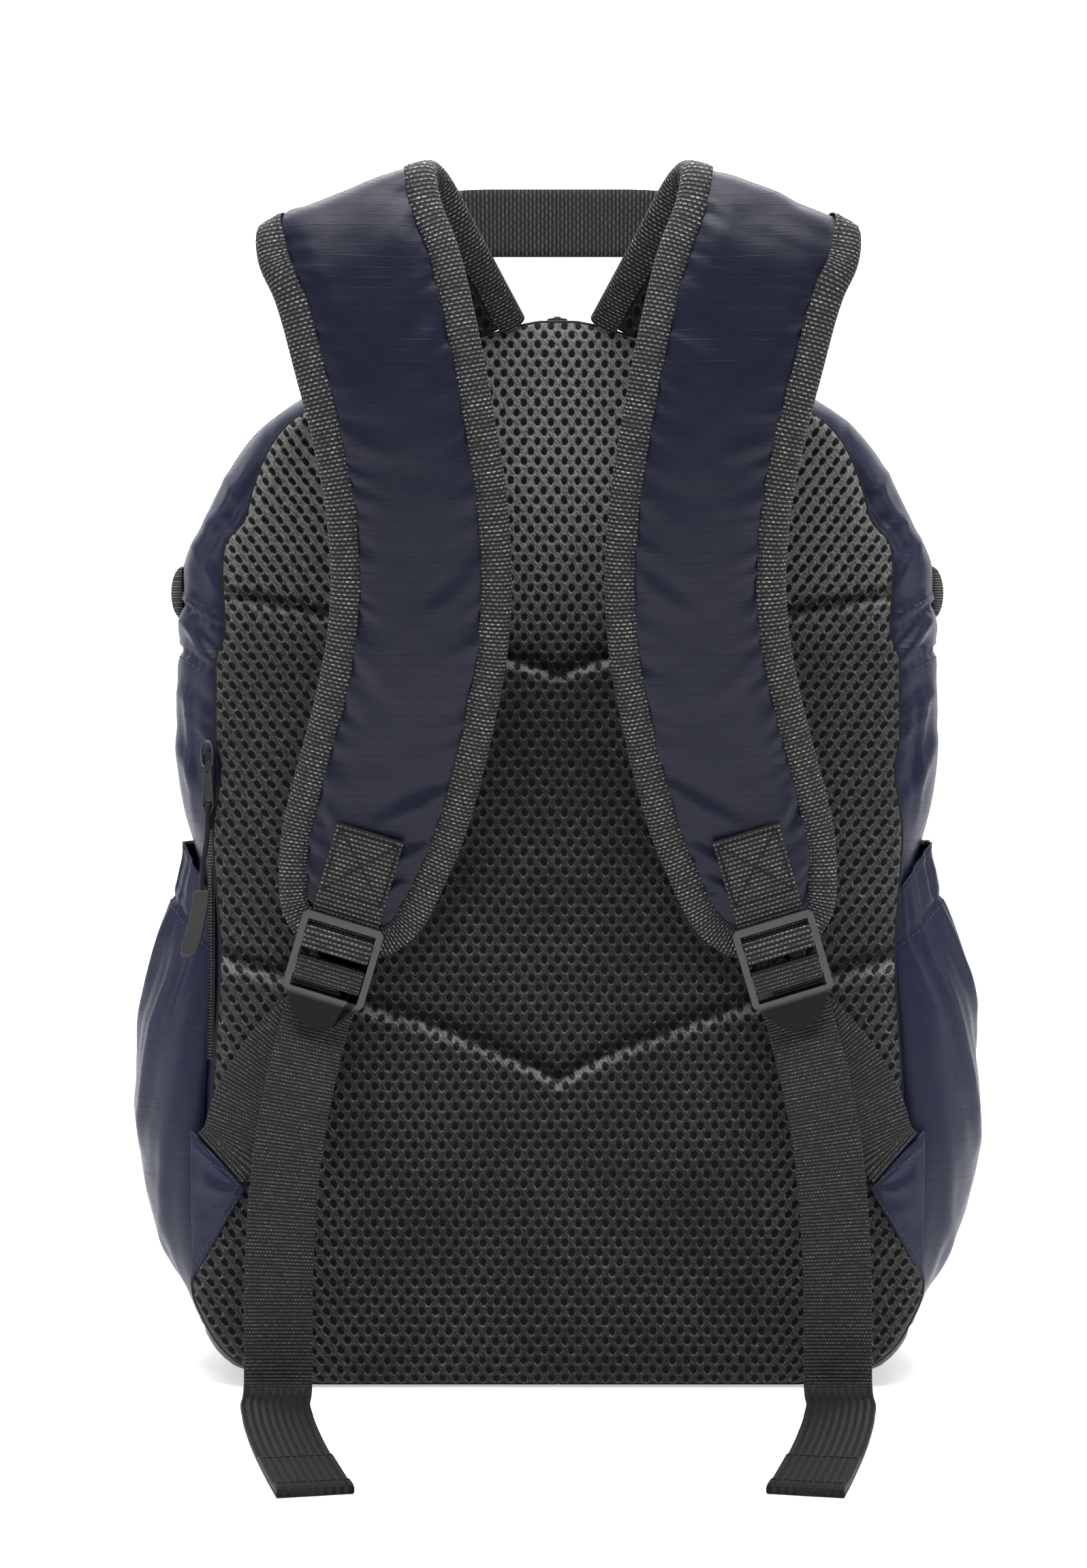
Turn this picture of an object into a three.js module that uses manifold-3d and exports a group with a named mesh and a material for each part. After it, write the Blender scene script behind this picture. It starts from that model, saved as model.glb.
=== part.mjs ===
// A ripstop day pack standing on its base, with its shoulder straps towards -Y.
// Millimetres, +Z up. The origin is on the floor under the middle of the base.
// The bag is a thin hollow shell. Tables hold shares of the named sizes that they follow.

import * as THREE from 'three';
import { mergeVertices } from 'three/addons/utils/BufferGeometryUtils.js';
import Module from 'manifold-3d';

const wasm = await Module();
wasm.setup();

// Bag
const bagHeight = 450;
const bagWidth = 330;
const bagDepth = 150;
const cloth = 1.5;
const backTuckWidth = 22;
const backTuckDepth = 36;
const frontRoundWidth = 50;
const frontRoundDepth = 42;
const frontCrown = 9;
const sideCrown = 1.5;
const gap = 0.3;

// Padded back panel
const panelBelowTop = 1;
const panelInFromSide = 11;
const panelThickness = 9.7;
const panelEdge = 3;
const channelDepth = 6.4;
const channelRise = 53;

// Main zip over the top, and its end tabs
const zipTapeWidth = 9.4;
const zipCoilWidth = 3.2;
const zipCoilHeight = 1.2;
const zipSetback = 41;
const zipEndHeight = 349;
const tabHeight = 23;
const tabWidth = 12;
const tabReach = 4.7;
const sliderLength = 13;
const sliderWidth = 8;
const sliderHeight = 3.4;
const mainPullLength = 32;
const mainPullWidth = 9;
const mainPullThickness = 2;

// Side pockets
const pocketBulge = 23;
const pocketTop = 229;
const pocketTopAtPanel = 204;
const pocketBottom = 22;
const pocketMouth = 9;
const gatherDepth = 1.1;
const gatherCount = 8;

// Webbing and its buckles
const webWidth = 28.4;
const webThickness = 1.4;
const buckleThickness = 3.2;
const buckleRail = 2.95;
const buckleLength = 34.2;
const buckleTongue = 13.8;
const topBar = 3.3;
const upperBarAt = 9.3;
const upperBar = 4.7;
const lowerBarAt = 20.7;
const lowerBar = 6.5;
const tabAt = 32.6;
const patchLength = 38;
const hemThickness = 3.6;

// Shoulder straps
const strapWidth = 77;
const strapThickness = 11;
const strapEdge = 6.6;
const strapReach = 60;
const tapeWidth = 12;
const tapeThickness = 0.8;

// Wings that hold the lower webbing
const wingThickness = 3;
const wingSwell = 1.6;

// Grab handle
const handleSpan = 103;
const handleForward = 16;
const handleReach = 31;
const handleThickness = 1.8;
const handleAboveTop = 38;

// Side zip with its puller
const sideZipTop = 269;
const sideZipBottom = 137;
const sideZipWidth = 3.6;
const sideZipThickness = 1.5;
const sideSliderBelowTop = 8;
const pullerLength = 21;
const pullerWidth = 5.6;
const pullerThickness = 1.2;
const pullerHole = 1.65;
const studRadius = 0.7;
const cordDiameter = 2.2;
const gripLength = 28;
const gripWidth = 7;
const gripThickness = 3.6;

const halfWidth = bagWidth / 2;
const panelHeight = bagHeight - panelBelowTop;
const panelWidth = bagWidth - 2 * panelInFromSide;
const handleRise = bagHeight + handleAboveTop;
const point = (x, y, z) => new THREE.Vector3(x, y, z);
const mix = THREE.MathUtils.lerp;
const clamp = THREE.MathUtils.clamp;

// Reads column number column of a table whose first column rises, at the place at.
function read(table, column, at) {
  let row = 1;
  while (row < table.length - 1 && table[row][0] < at) row += 1;
  const [low, high] = [table[row - 1], table[row]];
  const share = clamp((at - low[0]) / (high[0] - low[0]), 0, 1);
  return mix(low[column], high[column], share);
}

// Turns points and triangles into a geometry whose faces point out.
function solid(points, triangles) {
  const volume = triangles.reduce(
    (sum, [a, b, c]) => sum + points[a].dot(point(0, 0, 0).crossVectors(points[b], points[c])), 0);
  const faces = volume < 0 ? triangles.map(([a, b, c]) => [a, c, b]) : triangles;
  const geometry = new THREE.BufferGeometry();
  const places = points.flatMap((p) => p.toArray());
  geometry.setAttribute('position', new THREE.Float32BufferAttribute(places, 3));
  geometry.setIndex(faces.flat());
  return geometry;
}

// Joins closed rings of equal length into one body. The flat triangles of cap close both ends.
function skin(rings, cap) {
  const count = rings[0].length;
  const points = rings.flat();
  const triangles = [];
  for (let r = 0; r < rings.length - 1; r += 1) {
    for (let k = 0; k < count; k += 1) {
      const [a, b] = [r * count + k, r * count + ((k + 1) % count)];
      triangles.push([a, b, b + count], [a, b + count, a + count]);
    }
  }
  const last = (rings.length - 1) * count;
  for (const [a, b, c] of cap) triangles.push([a, c, b], [last + a, last + b, last + c]);
  return solid(points, triangles);
}

const capOf = (section) =>
  THREE.ShapeUtils.triangulateShape(section.map(([u, v]) => new THREE.Vector2(u, v)), []);

// Carries a section, a list of [across, up] pairs, through frames of at, across and up.
function sweep(section, frames) {
  const rings = frames.map((f) => (typeof section === 'function' ? section(f) : section).map(
    ([u, v]) => f.at.clone().addScaledVector(f.across, u).addScaledVector(f.up, v)));
  return skin(rings, capOf(typeof section === 'function' ? section(frames[0]) : section));
}

// A closed slab between two grids of points with the same rows and columns.
function slab(front, back) {
  const [rows, columns] = [front.length, front[0].length];
  const points = [...front.flat(), ...back.flat()];
  const behind = rows * columns;
  const triangles = [];
  const at = (r, c) => r * columns + c;
  for (let r = 0; r < rows - 1; r += 1) {
    for (let c = 0; c < columns - 1; c += 1) {
      const quad = [at(r, c), at(r, c + 1), at(r + 1, c + 1), at(r + 1, c)];
      triangles.push([quad[0], quad[1], quad[2]], [quad[0], quad[2], quad[3]]);
      triangles.push(...[[0, 2, 1], [0, 3, 2]].map((t) => t.map((k) => quad[k] + behind)));
    }
  }
  const rim = [];
  for (let c = 0; c < columns - 1; c += 1) rim.push(at(0, c));
  for (let r = 0; r < rows - 1; r += 1) rim.push(at(r, columns - 1));
  for (let c = columns - 1; c > 0; c -= 1) rim.push(at(rows - 1, c));
  for (let r = rows - 1; r > 0; r -= 1) rim.push(at(r, 0));
  rim.forEach((a, k) => {
    const b = rim[(k + 1) % rim.length];
    triangles.push([a, a + behind, b + behind], [a, b + behind, b]);
  });
  return solid(points, triangles);
}

function toManifold(geometry) {
  const bare = geometry.clone();
  bare.deleteAttribute('normal');
  bare.deleteAttribute('uv');
  const merged = mergeVertices(bare, 1e-4);
  return new wasm.Manifold(new wasm.Mesh({
    numProp: 3,
    vertProperties: new Float32Array(merged.attributes.position.array),
    triVerts: new Uint32Array(merged.index.array),
  }));
}

function fromManifold(body) {
  const mesh = body.getMesh();
  const geometry = new THREE.BufferGeometry();
  geometry.setAttribute('position', new THREE.Float32BufferAttribute(mesh.vertProperties, 3));
  geometry.setIndex(Array.from(mesh.triVerts));
  return geometry;
}

const box = (low, high) => {
  const span = high.clone().sub(low);
  const geometry = new THREE.BoxGeometry(span.x, span.y, span.z);
  const middle = low.clone().add(high).multiplyScalar(0.5);
  return toManifold(geometry.translate(middle.x, middle.y, middle.z));
};

const mirrored = (geometry) => {
  const copy = geometry.clone().applyMatrix4(new THREE.Matrix4().makeScale(-1, 1, 1));
  copy.setIndex(Array.from(copy.index.array).reverse());
  return copy;
};

// Outline of the bag: height, half width, back and front,
// as shares of bagHeight, half of bagWidth, bagDepth and again bagDepth.
const bagOutline = [
  [0, 0.776, -0.4, 0.36], [0.011, 0.867, -0.427, 0.42], [0.036, 0.921, -0.44, 0.47],
  [0.093, 0.958, -0.44, 0.52], [0.16, 0.97, -0.44, 0.55], [0.24, 0.97, -0.44, 0.56],
  [0.324, 0.958, -0.44, 0.56], [0.409, 0.945, -0.44, 0.55], [0.484, 0.945, -0.44, 0.53],
  [0.544, 0.982, -0.44, 0.51], [0.6, 0.998, -0.44, 0.49], [0.68, 0.998, -0.44, 0.45],
  [0.697, 0.987, -0.44, 0.44], [0.714, 0.998, -0.44, 0.43], [0.742, 0.984, -0.44, 0.41],
  [0.765, 0.986, -0.44, 0.39], [0.824, 0.921, -0.44, 0.34], [0.869, 0.859, -0.44, 0.29],
  [0.909, 0.776, -0.44, 0.23], [0.933, 0.682, -0.437, 0.19], [0.953, 0.576, -0.433, 0.145],
  [0.973, 0.424, -0.427, 0.085], [0.991, 0.23, -0.41, 0.01], [1, 0.1, -0.37, -0.07],
];
const backShare = 0.44;
const backPlane = -backShare * bagDepth;
const cornerSteps = 4;
const flatSteps = 3;

const widthAt = (z) => halfWidth * read(bagOutline, 1, z / bagHeight);

// One level ring of the bag, grown outwards by grow. Each point comes with its outward direction.
function ringAt(z, grow = 0) {
  const share = z / bagHeight;
  const a = widthAt(z);
  const [back, front] = [2, 3].map((column) => bagDepth * read(bagOutline, column, share));
  const depth = front - back;
  const corners = [
    [-1, -1, backTuckWidth, backTuckDepth], [-1, 1, frontRoundWidth, frontRoundDepth],
    [1, 1, frontRoundWidth, frontRoundDepth], [1, -1, backTuckWidth, backTuckDepth],
  ].map(([sx, sy, rx, ry], k) => {
    const [across, deep] = [Math.min(rx, 0.8 * a), Math.min(ry, 0.46 * depth)];
    const middle = [sx * (a - across), sy < 0 ? back + deep : front - deep];
    const turns = Array.from({ length: cornerSteps + 1 }, (_, i) => (Math.PI / 2) * (i / cornerSteps));
    const arc = turns.map((turn) => {
      const [s, c] = k % 2 === 0 ? [Math.sin(turn), Math.cos(turn)] : [Math.cos(turn), Math.sin(turn)];
      const out = new THREE.Vector2((sx * s) / across, (sy * c) / deep).normalize();
      return {
        at: point(middle[0] + sx * across * s + out.x * grow, middle[1] + sy * deep * c + out.y * grow, z),
        out: point(out.x, out.y, 0),
      };
    });
    return arc;
  });
  const crowns = [sideCrown, frontCrown, sideCrown, 0];
  return corners.flatMap((arc, k) => {
    const [from, to] = [arc[cornerSteps], corners[(k + 1) % 4][0]];
    const flats = Array.from({ length: flatSteps - 1 }, (_, i) => {
      const along = (i + 1) / flatSteps;
      const bow = crowns[k] * 4 * along * (1 - along) * clamp((2 * a) / bagWidth, 0, 1);
      const out = from.out.clone().lerp(to.out, along).normalize();
      return { at: from.at.clone().lerp(to.at, along).addScaledVector(out, bow), out };
    });
    return [...arc, ...flats];
  });
}

// The whole bag outline as a body, grown by grow on every side.
function bagBody(grow) {
  const rings = bagOutline.map(([share]) => {
    const z = share * bagHeight;
    const lifted = -grow + z * (1 + (2 * grow) / bagHeight);
    return ringAt(z, grow).map(({ at }) => at.clone().setZ(lifted));
  });
  const count = rings[0].length;
  const fan = Array.from({ length: count - 2 }, (_, k) => [0, k + 1, k + 2]);
  return toManifold(skin(rings, fan));
}

const zipLine = backPlane + zipSetback;
const farOut = bagWidth + bagHeight;
const zipSlab = (width, low) => box(
  point(-farOut, zipLine - width / 2, low), point(farOut, zipLine + width / 2, farOut));

function bagShell() {
  const hollow = bagBody(0).subtract(bagBody(-cloth));
  return fromManifold(hollow.subtract(zipSlab(zipTapeWidth + 2 * gap, zipEndHeight)));
}

function mainZip() {
  const tape = bagBody(0).subtract(bagBody(-cloth)).intersect(zipSlab(zipTapeWidth, zipEndHeight + gap));
  const coil = bagBody(zipCoilHeight).subtract(bagBody(-cloth));
  return fromManifold(tape.add(coil.intersect(zipSlab(zipCoilWidth, zipEndHeight + gap))));
}

// Half-round loop of tape over the end of the main zip, on the right side.
function zipEndTab() {
  const middle = zipEndHeight - gap - tabHeight / 2;
  const shape = new THREE.Shape();
  shape.moveTo(0, -tabHeight / 2);
  shape.absellipse(0, 0, tabReach, tabHeight / 2, -Math.PI / 2, Math.PI / 2, false);
  const geometry = new THREE.ExtrudeGeometry(shape, {
    depth: tabWidth, bevelEnabled: false, curveSegments: 8,
  });
  const wall = [0, 0.25, 0.5, 0.75, 1].map((share) => widthAt(middle + (share - 0.5) * tabHeight));
  const [low, high] = [wall[0], wall[4]];
  const bulge = Math.max(...wall.map((x, k) => x - mix(low, high, k / 4)));
  geometry.rotateX(Math.PI / 2);
  geometry.rotateY(Math.atan2(high - low, tabHeight));
  const seat = (low + high) / 2 + bulge + sideCrown / 2 + 2 * gap;
  return geometry.translate(seat, zipLine + tabWidth / 2, middle);
}

// Half width of the back panel by height, as shares of panelHeight and half of panelWidth.
const panelOutline = [
  [0, 0.62], [0.022, 0.87], [0.057, 0.96], [0.095, 1], [0.14, 0.975], [0.2, 0.95], [0.28, 0.942],
  [0.408, 0.922], [0.452, 0.929], [0.519, 0.942], [0.58, 0.922], [0.61, 0.935], [0.68, 0.935],
  [0.71, 0.909], [0.77, 0.916], [0.79, 0.909], [0.813, 0.857], [0.84, 0.835], [0.873, 0.799],
  [0.9, 0.747], [0.924, 0.65], [0.951, 0.52], [0.969, 0.39], [0.982, 0.234], [0.996, 0.1], [1, 0.04],
];
// Rows of the panel: height of the middle, rise to the edge, fullness,
// as shares of panelHeight, channelRise and the full thickness. A stitched channel is a row of
// fullness 0, and an edge row of fullness -1 is as thin as panelEdge.
const panelRows = [
  [0.003, 0, -1], [0.02, 0, 0.9], [0.055, 0, 1], [0.11, 0.05, 1], [0.18, 0.3, 1], [0.255, 0.78, 1],
  [0.276, 0.94, 0.72], [0.29, 1, 0], [0.304, 1.02, 0.85], [0.335, 0.97, 1], [0.42, 0.78, 0.97],
  [0.53, 0.68, 0.97], [0.63, 0.64, 1], [0.657, 0.64, 0.75], [0.67, 0.64, 0], [0.684, 0.64, 0.85],
  [0.715, 0.56, 1], [0.8, 0.3, 0.97], [0.88, 0.08, 1], [0.93, 0, 0.95], [0.965, 0, 0.8],
  [0.985, 0, 0.5], [0.999, 0, -1],
];
const panelColumns = [-1, -0.96, -0.86, -0.66, -0.44, -0.22, 0, 0.22, 0.44, 0.66, 0.86, 0.96, 1];

function backPanel() {
  const place = (u, [middle, rise]) => {
    const z = panelHeight * middle + channelRise * rise * Math.abs(u) ** 0.8;
    const reach = (panelWidth / 2) * read(panelOutline, 1, z / panelHeight);
    return [u * reach, z];
  };
  const thickness = (u, share) => {
    if (share < 0) return panelEdge;
    const full = panelThickness - channelDepth * (1 - share);
    return mix(panelEdge, full, Math.sqrt(1 - u ** 6));
  };
  const back = backPlane - gap;
  const grid = (depth) => panelRows.map((row) => panelColumns.map((u) => {
    const [x, z] = place(u, row);
    return point(x, back - depth(u, row[2]), z);
  }));
  return slab(grid(thickness), grid(() => 0));
}

// Left side pocket: a thin wall that stands off the bag, open at its top edge.
// How far it stands off, from the bottom seam up to the mouth, as shares of pocketBulge.
const pocketRise = [
  [0, 0], [0.1, 0.35], [0.22, 0.72], [0.42, 1], [0.62, 0.97], [0.78, 0.8], [0.87, 0.5], [1, 0.3],
];
const pocketLevels = [0, 0.05, 0.097, 0.16, 0.26, 0.42, 0.58, 0.71, 0.81, 0.87, 0.92, 1];
const pocketFirst = 2;
const pocketLast = 2 * cornerSteps + flatSteps - 2;

function sidePocket() {
  const columns = pocketLast - pocketFirst;
  const wall = (extra) => pocketLevels.map((level) => Array.from({ length: 2 * columns + 1 }, (_, k) => {
    const share = k / (2 * columns);
    const top = mix(pocketTopAtPanel, pocketTop, Math.min(1, share * 3));
    const z = mix(pocketBottom, top, level);
    const ring = ringAt(z);
    const [from, to] = [Math.floor(k / 2), Math.ceil(k / 2)].map((i) => ring[pocketFirst + i]);
    const out = from.out.clone().lerp(to.out, 0.5).normalize();
    const at = from.at.clone().lerp(to.at, 0.5);
    const around = Math.sin(Math.PI * share) ** 1.1;
    const folds = Math.sin(gatherCount * Math.PI * share) ** 2;
    const gather = gatherDepth * folds * clamp(3 * level - 1.4, 0, 1);
    const stand = Math.max(pocketBulge * read(pocketRise, 1, level), level * pocketMouth);
    return at.addScaledVector(out, 2 * gap + around * (stand + gather) + extra);
  }));
  return slab(wall(cloth), wall(0));
}

// Left wing, a folded triangle: its corners as shares of half of panelWidth and of panelHeight.
const wingCorners = { seamTop: [1.004, 0.243], seamLow: [0.998, 0.098], tip: [0.845, 0.191] };
const wingSteps = 4;
const wingBlunt = 0.97;
const panelFront = backPlane - gap - panelThickness;

const onPanel = ([x, z], forward) => point(-x * (panelWidth / 2), panelFront - forward, z * panelHeight);

function wing() {
  const corners = Object.fromEntries(Object.entries(wingCorners).map(([name, at]) => {
    const seat = name === 'tip' ? gap : gap + panelEdge - panelThickness;
    return [name, onPanel(at, seat)];
  }));
  const grid = (forward) => Array.from({ length: wingSteps + 1 }, (_, r) => {
    const across = r / wingSteps;
    const [top, low] = ['seamTop', 'seamLow']
      .map((name) => corners[name].clone().lerp(corners.tip, wingBlunt * across));
    const swell = Math.sin(Math.PI * across) * wingSwell;
    return [0, 0.33, 0.67, 1].map((down) => top.clone().lerp(low, down).add(point(0, -forward - swell, 0)));
  });
  return slab(grid(wingThickness), grid(0));
}

// Left shoulder strap, from its seam at the top of the bag, over the fold and down to the buckle:
// out, forward of the back plane, height, lean in degrees, half width.
// Shares of half of bagWidth, strapReach, bagHeight, none, half of strapWidth.
const strapPath = [
  [0.309, 0.057, 0.9775, 17, 1], [0.37, 0.367, 1.013, 17.8, 1], [0.43, 0.603, 1.049, 19.2, 1],
  [0.488, 0.832, 1.0832, 20.5, 1], [0.503, 0.895, 1.0882, 21, 1], [0.515, 0.965, 1.0876, 21, 1],
  [0.518, 1.022, 1.0817, 21, 1], [0.515, 1.06, 1.0712, 20.5, 1], [0.502, 1.105, 1.049, 18.8, 1],
  [0.47, 1.135, 1.023, 16.5, 0.99], [0.416, 1.14, 0.948, 12, 0.974], [0.374, 1.07, 0.876, 8.5, 0.95],
  [0.345, 0.963, 0.809, 5, 0.945], [0.336, 0.848, 0.75, 0, 0.95], [0.345, 0.752, 0.7, -6, 0.955],
  [0.378, 0.622, 0.636, -11, 0.96], [0.439, 0.452, 0.553, -14.5, 0.97], [0.464, 0.399, 0.524, -16, 0.955],
  [0.495, 0.342, 0.49, -17, 0.91], [0.519, 0.308, 0.457, -18, 0.83], [0.544, 0.292, 0.433, -18.5, 0.7],
  [0.566, 0.283, 0.415, -18.5, 0.47], [0.578, 0.28, 0.405, -18.5, 0.24],
];
const endRows = 6;
const seamRow = 17;
const seatRow = 19;

const strapRows = strapPath.map(([out, forward, height, lean, width]) => ({
  at: point(-out * halfWidth, backPlane - forward * strapReach, height * bagHeight),
  across: point(Math.cos(THREE.MathUtils.degToRad(lean)), 0, Math.sin(THREE.MathUtils.degToRad(lean))),
  half: (width * strapWidth) / 2,
}));
strapRows.forEach((row, k) => {
  const [before, after] = [strapRows[Math.max(k - 1, 0)], strapRows[Math.min(k + 1, strapRows.length - 1)]];
  row.along = after.at.clone().sub(before.at).normalize();
  row.up = row.along.clone().cross(row.across).normalize();
});
// How squarely the rim crosses each row, and how far the row is from the lower end.
strapRows.forEach((row, k) => {
  const [before, after] = [strapRows[Math.max(k - 1, 0)], strapRows[Math.min(k + 1, strapRows.length - 1)]];
  const rim = after.at.clone().addScaledVector(after.across, after.half)
    .sub(before.at.clone().addScaledVector(before.across, before.half)).normalize();
  row.rounds = k >= strapRows.length - endRows;
  row.square = row.rounds ? Math.max(0.35, Math.sqrt(1 - rim.dot(row.across) ** 2)) : 1;
});
strapRows.reduceRight((fromEnd, row, k) => {
  row.fromEnd = fromEnd;
  return k > 0 ? fromEnd + row.at.distanceTo(strapRows[k - 1].at) : fromEnd;
}, 0);

// Half the padding's thickness, thin under the edge tape and full inside it.
const tapeInside = tapeWidth + gap + 0.5;
const padHalf = (inward) =>
  mix(strapEdge, strapThickness, Math.sin((Math.PI / 2) * clamp((inward - tapeInside) / 7, 0, 1))) / 2;

function strapPad() {
  const trim = tapeThickness + 4 * gap;
  const grid = (side) => strapRows.map((row, k) => {
    const last = k === strapRows.length - 1;
    const half = row.half - trim / row.square;
    const inner = Math.max(row.half - tapeInside / row.square, 0.3 * half);
    const columns = [half, inner, Math.max(inner - 5, 0.18 * half), 0.08 * half];
    const shift = last ? -trim : 0;
    return [...columns, ...columns.slice().reverse().map((u) => -u)].map((u) => {
      const inward = Math.min((row.half - Math.abs(u)) * row.square, row.fromEnd - 3);
      return row.at.clone().addScaledVector(row.across, u).addScaledVector(row.along, shift)
        .addScaledVector(row.up, side * padHalf(inward));
    });
  });
  return slab(grid(1), grid(-1));
}

// Edge tape folded round the strap's outer edge, its lower end and its inner edge.
function strapBinding() {
  const rim = [
    ...strapRows.map((row) => ({ ...row, at: row.at.clone().addScaledVector(row.across, -row.half) })),
    ...strapRows.slice().reverse().map((row) => (
      { ...row, at: row.at.clone().addScaledVector(row.across, row.half) })),
  ];
  const [inner, outer] = [strapEdge / 2 + gap, strapEdge / 2 + gap + tapeThickness];
  const section = [
    [tapeWidth, outer], [0, outer - 0.2], [0, 0.2 - outer], [tapeWidth, -outer],
    [tapeWidth, -inner], [tapeThickness, -inner], [tapeThickness, inner], [tapeWidth, inner],
  ];
  const middles = [...strapRows, ...strapRows.slice().reverse()];
  return sweep(section, rim.map((spot, k) => {
    const [before, after] = [rim[Math.max(k - 1, 0)], rim[Math.min(k + 1, rim.length - 1)]];
    const along = after.at.clone().sub(before.at).normalize();
    const home = middles[k].at.clone().sub(spot.at);
    const across = spot.rounds ? spot.up.clone().cross(along).normalize() : home.clone().normalize();
    if (across.dot(home.addScaledVector(spot.along, -6)) < 0) across.negate();
    return { at: spot.at, across, up: spot.up };
  }));
}

// Frame of the left buckle: across, down and out of the strap, from the middle of its top edge.
const seatOn = (row) => row.at.clone().addScaledVector(row.up, strapThickness / 2);
const [patchSeat, buckleSeat] = [seatOn(strapRows[seamRow]), seatOn(strapRows[seatRow])];
const buckleDown = buckleSeat.clone().sub(patchSeat).normalize();
const buckleAcross = strapRows[seatRow].across.clone();
buckleAcross.addScaledVector(buckleDown, -buckleAcross.dot(buckleDown)).normalize();
const buckleOut = buckleDown.clone().cross(buckleAcross).normalize();
const layers = 2 * webThickness;
const buckleRise = buckleThickness / 2 + 2 * gap + layers;
const buckleOrigin = patchSeat.clone().addScaledVector(buckleDown, patchLength)
  .addScaledVector(buckleOut, buckleRise + 3 * gap);
const inBuckle = (w, l, n) => buckleOrigin.clone().addScaledVector(buckleAcross, w)
  .addScaledVector(buckleDown, l).addScaledVector(buckleOut, n);

// Places along the buckle where its four bars start and end, top bar first.
const bars = {
  top: [0, topBar], upper: [upperBarAt, upperBarAt + upperBar],
  lower: [lowerBarAt, lowerBarAt + lowerBar], tab: [tabAt, buckleLength],
};

function ladderLock() {
  const half = webWidth / 2 + gap + buckleRail;
  const chamfer = 1.6;
  const tongue = [[0.93, 0.04], [0.84, 0.13], [0.75, 0.28], [0.67, 0.46], [0.58, 0.64], [0.44, 0.82], [0.22, 0.96]];
  const shape = new THREE.Shape();
  shape.moveTo(chamfer - half, 0);
  shape.lineTo(half - chamfer, 0);
  shape.lineTo(half, chamfer);
  shape.lineTo(half, buckleLength - 1);
  for (const [w, l] of tongue) shape.lineTo(w * half, buckleLength + l * buckleTongue);
  shape.lineTo(0, buckleLength + buckleTongue);
  for (const [w, l] of tongue.slice().reverse()) shape.lineTo(-w * half, buckleLength + l * buckleTongue);
  shape.lineTo(-half, buckleLength - 1);
  shape.lineTo(-half, chamfer);
  shape.closePath();
  const open = half - buckleRail;
  const slots = [
    [bars.top[1], bars.upper[0]], [bars.upper[1], bars.lower[0]], [bars.lower[1], bars.tab[0]],
  ];
  shape.holes = slots.map(([low, high]) => new THREE.Path(
    [[-open, low], [-open, high], [open, high], [open, low]].map(([w, l]) => new THREE.Vector2(w, l))));
  const geometry = new THREE.ExtrudeGeometry(shape, { depth: buckleThickness, bevelEnabled: false });
  geometry.translate(0, 0, -buckleThickness / 2);
  const place = new THREE.Matrix4().makeBasis(buckleAcross, buckleDown, buckleOut.clone().negate());
  return geometry.applyMatrix4(place.setPosition(buckleOrigin));
}

// Webbing sewn on the strap as two layers, with its loop round the buckle's upper bar.
function strapWebbing() {
  const [low, high] = bars.upper;
  const face = buckleThickness / 2 + gap;
  const [near, far] = [face, face + webThickness];
  const outline = [
    [-patchLength, -near - layers], [-patchLength, -near], [bars.top[1] + 0.2, -near],
    [low - 1.4, far], [high + gap + 0.4, far], [high + gap + webThickness, far - 1.2],
    [high + gap + webThickness, 0.9 - far], [high + gap + 0.4, -far], [bars.top[1] + 2, -far],
    [bars.top[1] - 1, -near - layers],
  ];
  const [roof, floor] = [near, -near - 0.1];
  const inside = [[high + gap, floor], [high + gap, roof], [low - 0.6, roof], [low - 3, floor]];
  const shape = new THREE.Shape(outline.map(([l, n]) => new THREE.Vector2(l, n)));
  shape.holes.push(new THREE.Path(inside.map(([l, n]) => new THREE.Vector2(l, n))));
  const geometry = new THREE.ExtrudeGeometry(shape, { depth: webWidth, bevelEnabled: false });
  geometry.translate(0, 0, -webWidth / 2);
  const place = new THREE.Matrix4().makeBasis(buckleDown, buckleOut, buckleAcross.clone().negate());
  return geometry.applyMatrix4(place.setPosition(buckleOrigin));
}

// The tail hangs from the buckle and lies on the floor. Hanging part: out, forward of the panel,
// height, as shares of half of bagWidth, panelThickness and bagHeight.
const tailHang = [
  [0.652, 1.55, 0.28], [0.681, 1.5, 0.217], [0.697, 1.55, 0.145], [0.702, 1.6, 0.085], [0.702, 1.6, 0.035],
];
const tailOnFloor = 156;
const tailSwing = 28.5;
const tailBend = 9;
const webBow = 5;
const webPastBar = 14;

// Along the part on the floor, as a share of tailOnFloor, with the thickness there:
// single, turned back on itself, and rolled into the hem.
const floorRun = [
  [0.2, webThickness], [0.42, webThickness], [0.64, webThickness], [0.72, 2 * webThickness],
  [0.93, 2 * webThickness], [0.97, hemThickness], [1, hemThickness],
];

// Stations of a strip of webbing: at, across and thickness, with up worked out from the run.
function strip(stations) {
  return stations.map((spot, k) => {
    const [before, after] = [stations[Math.max(k - 1, 0)], stations[Math.min(k + 1, stations.length - 1)]];
    const [into, outOf] = [spot.at.clone().sub(before.at), after.at.clone().sub(spot.at)]
      .map((run) => run.normalize());
    const along = into.clone().add(outOf).normalize();
    const across = spot.across.clone().addScaledVector(along, -spot.across.dot(along)).normalize();
    const mitre = k > 0 && k < stations.length - 1 ? 1 / Math.max(0.5, along.dot(into)) : 1;
    return { at: spot.at, across, up: along.clone().cross(across), thick: spot.thick * mitre };
  });
}

const webSection = (width) => ({ thick }) => [
  [-width / 2, -thick / 2], [width / 2, -thick / 2], [width / 2, thick / 2], [-width / 2, thick / 2],
];

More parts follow.
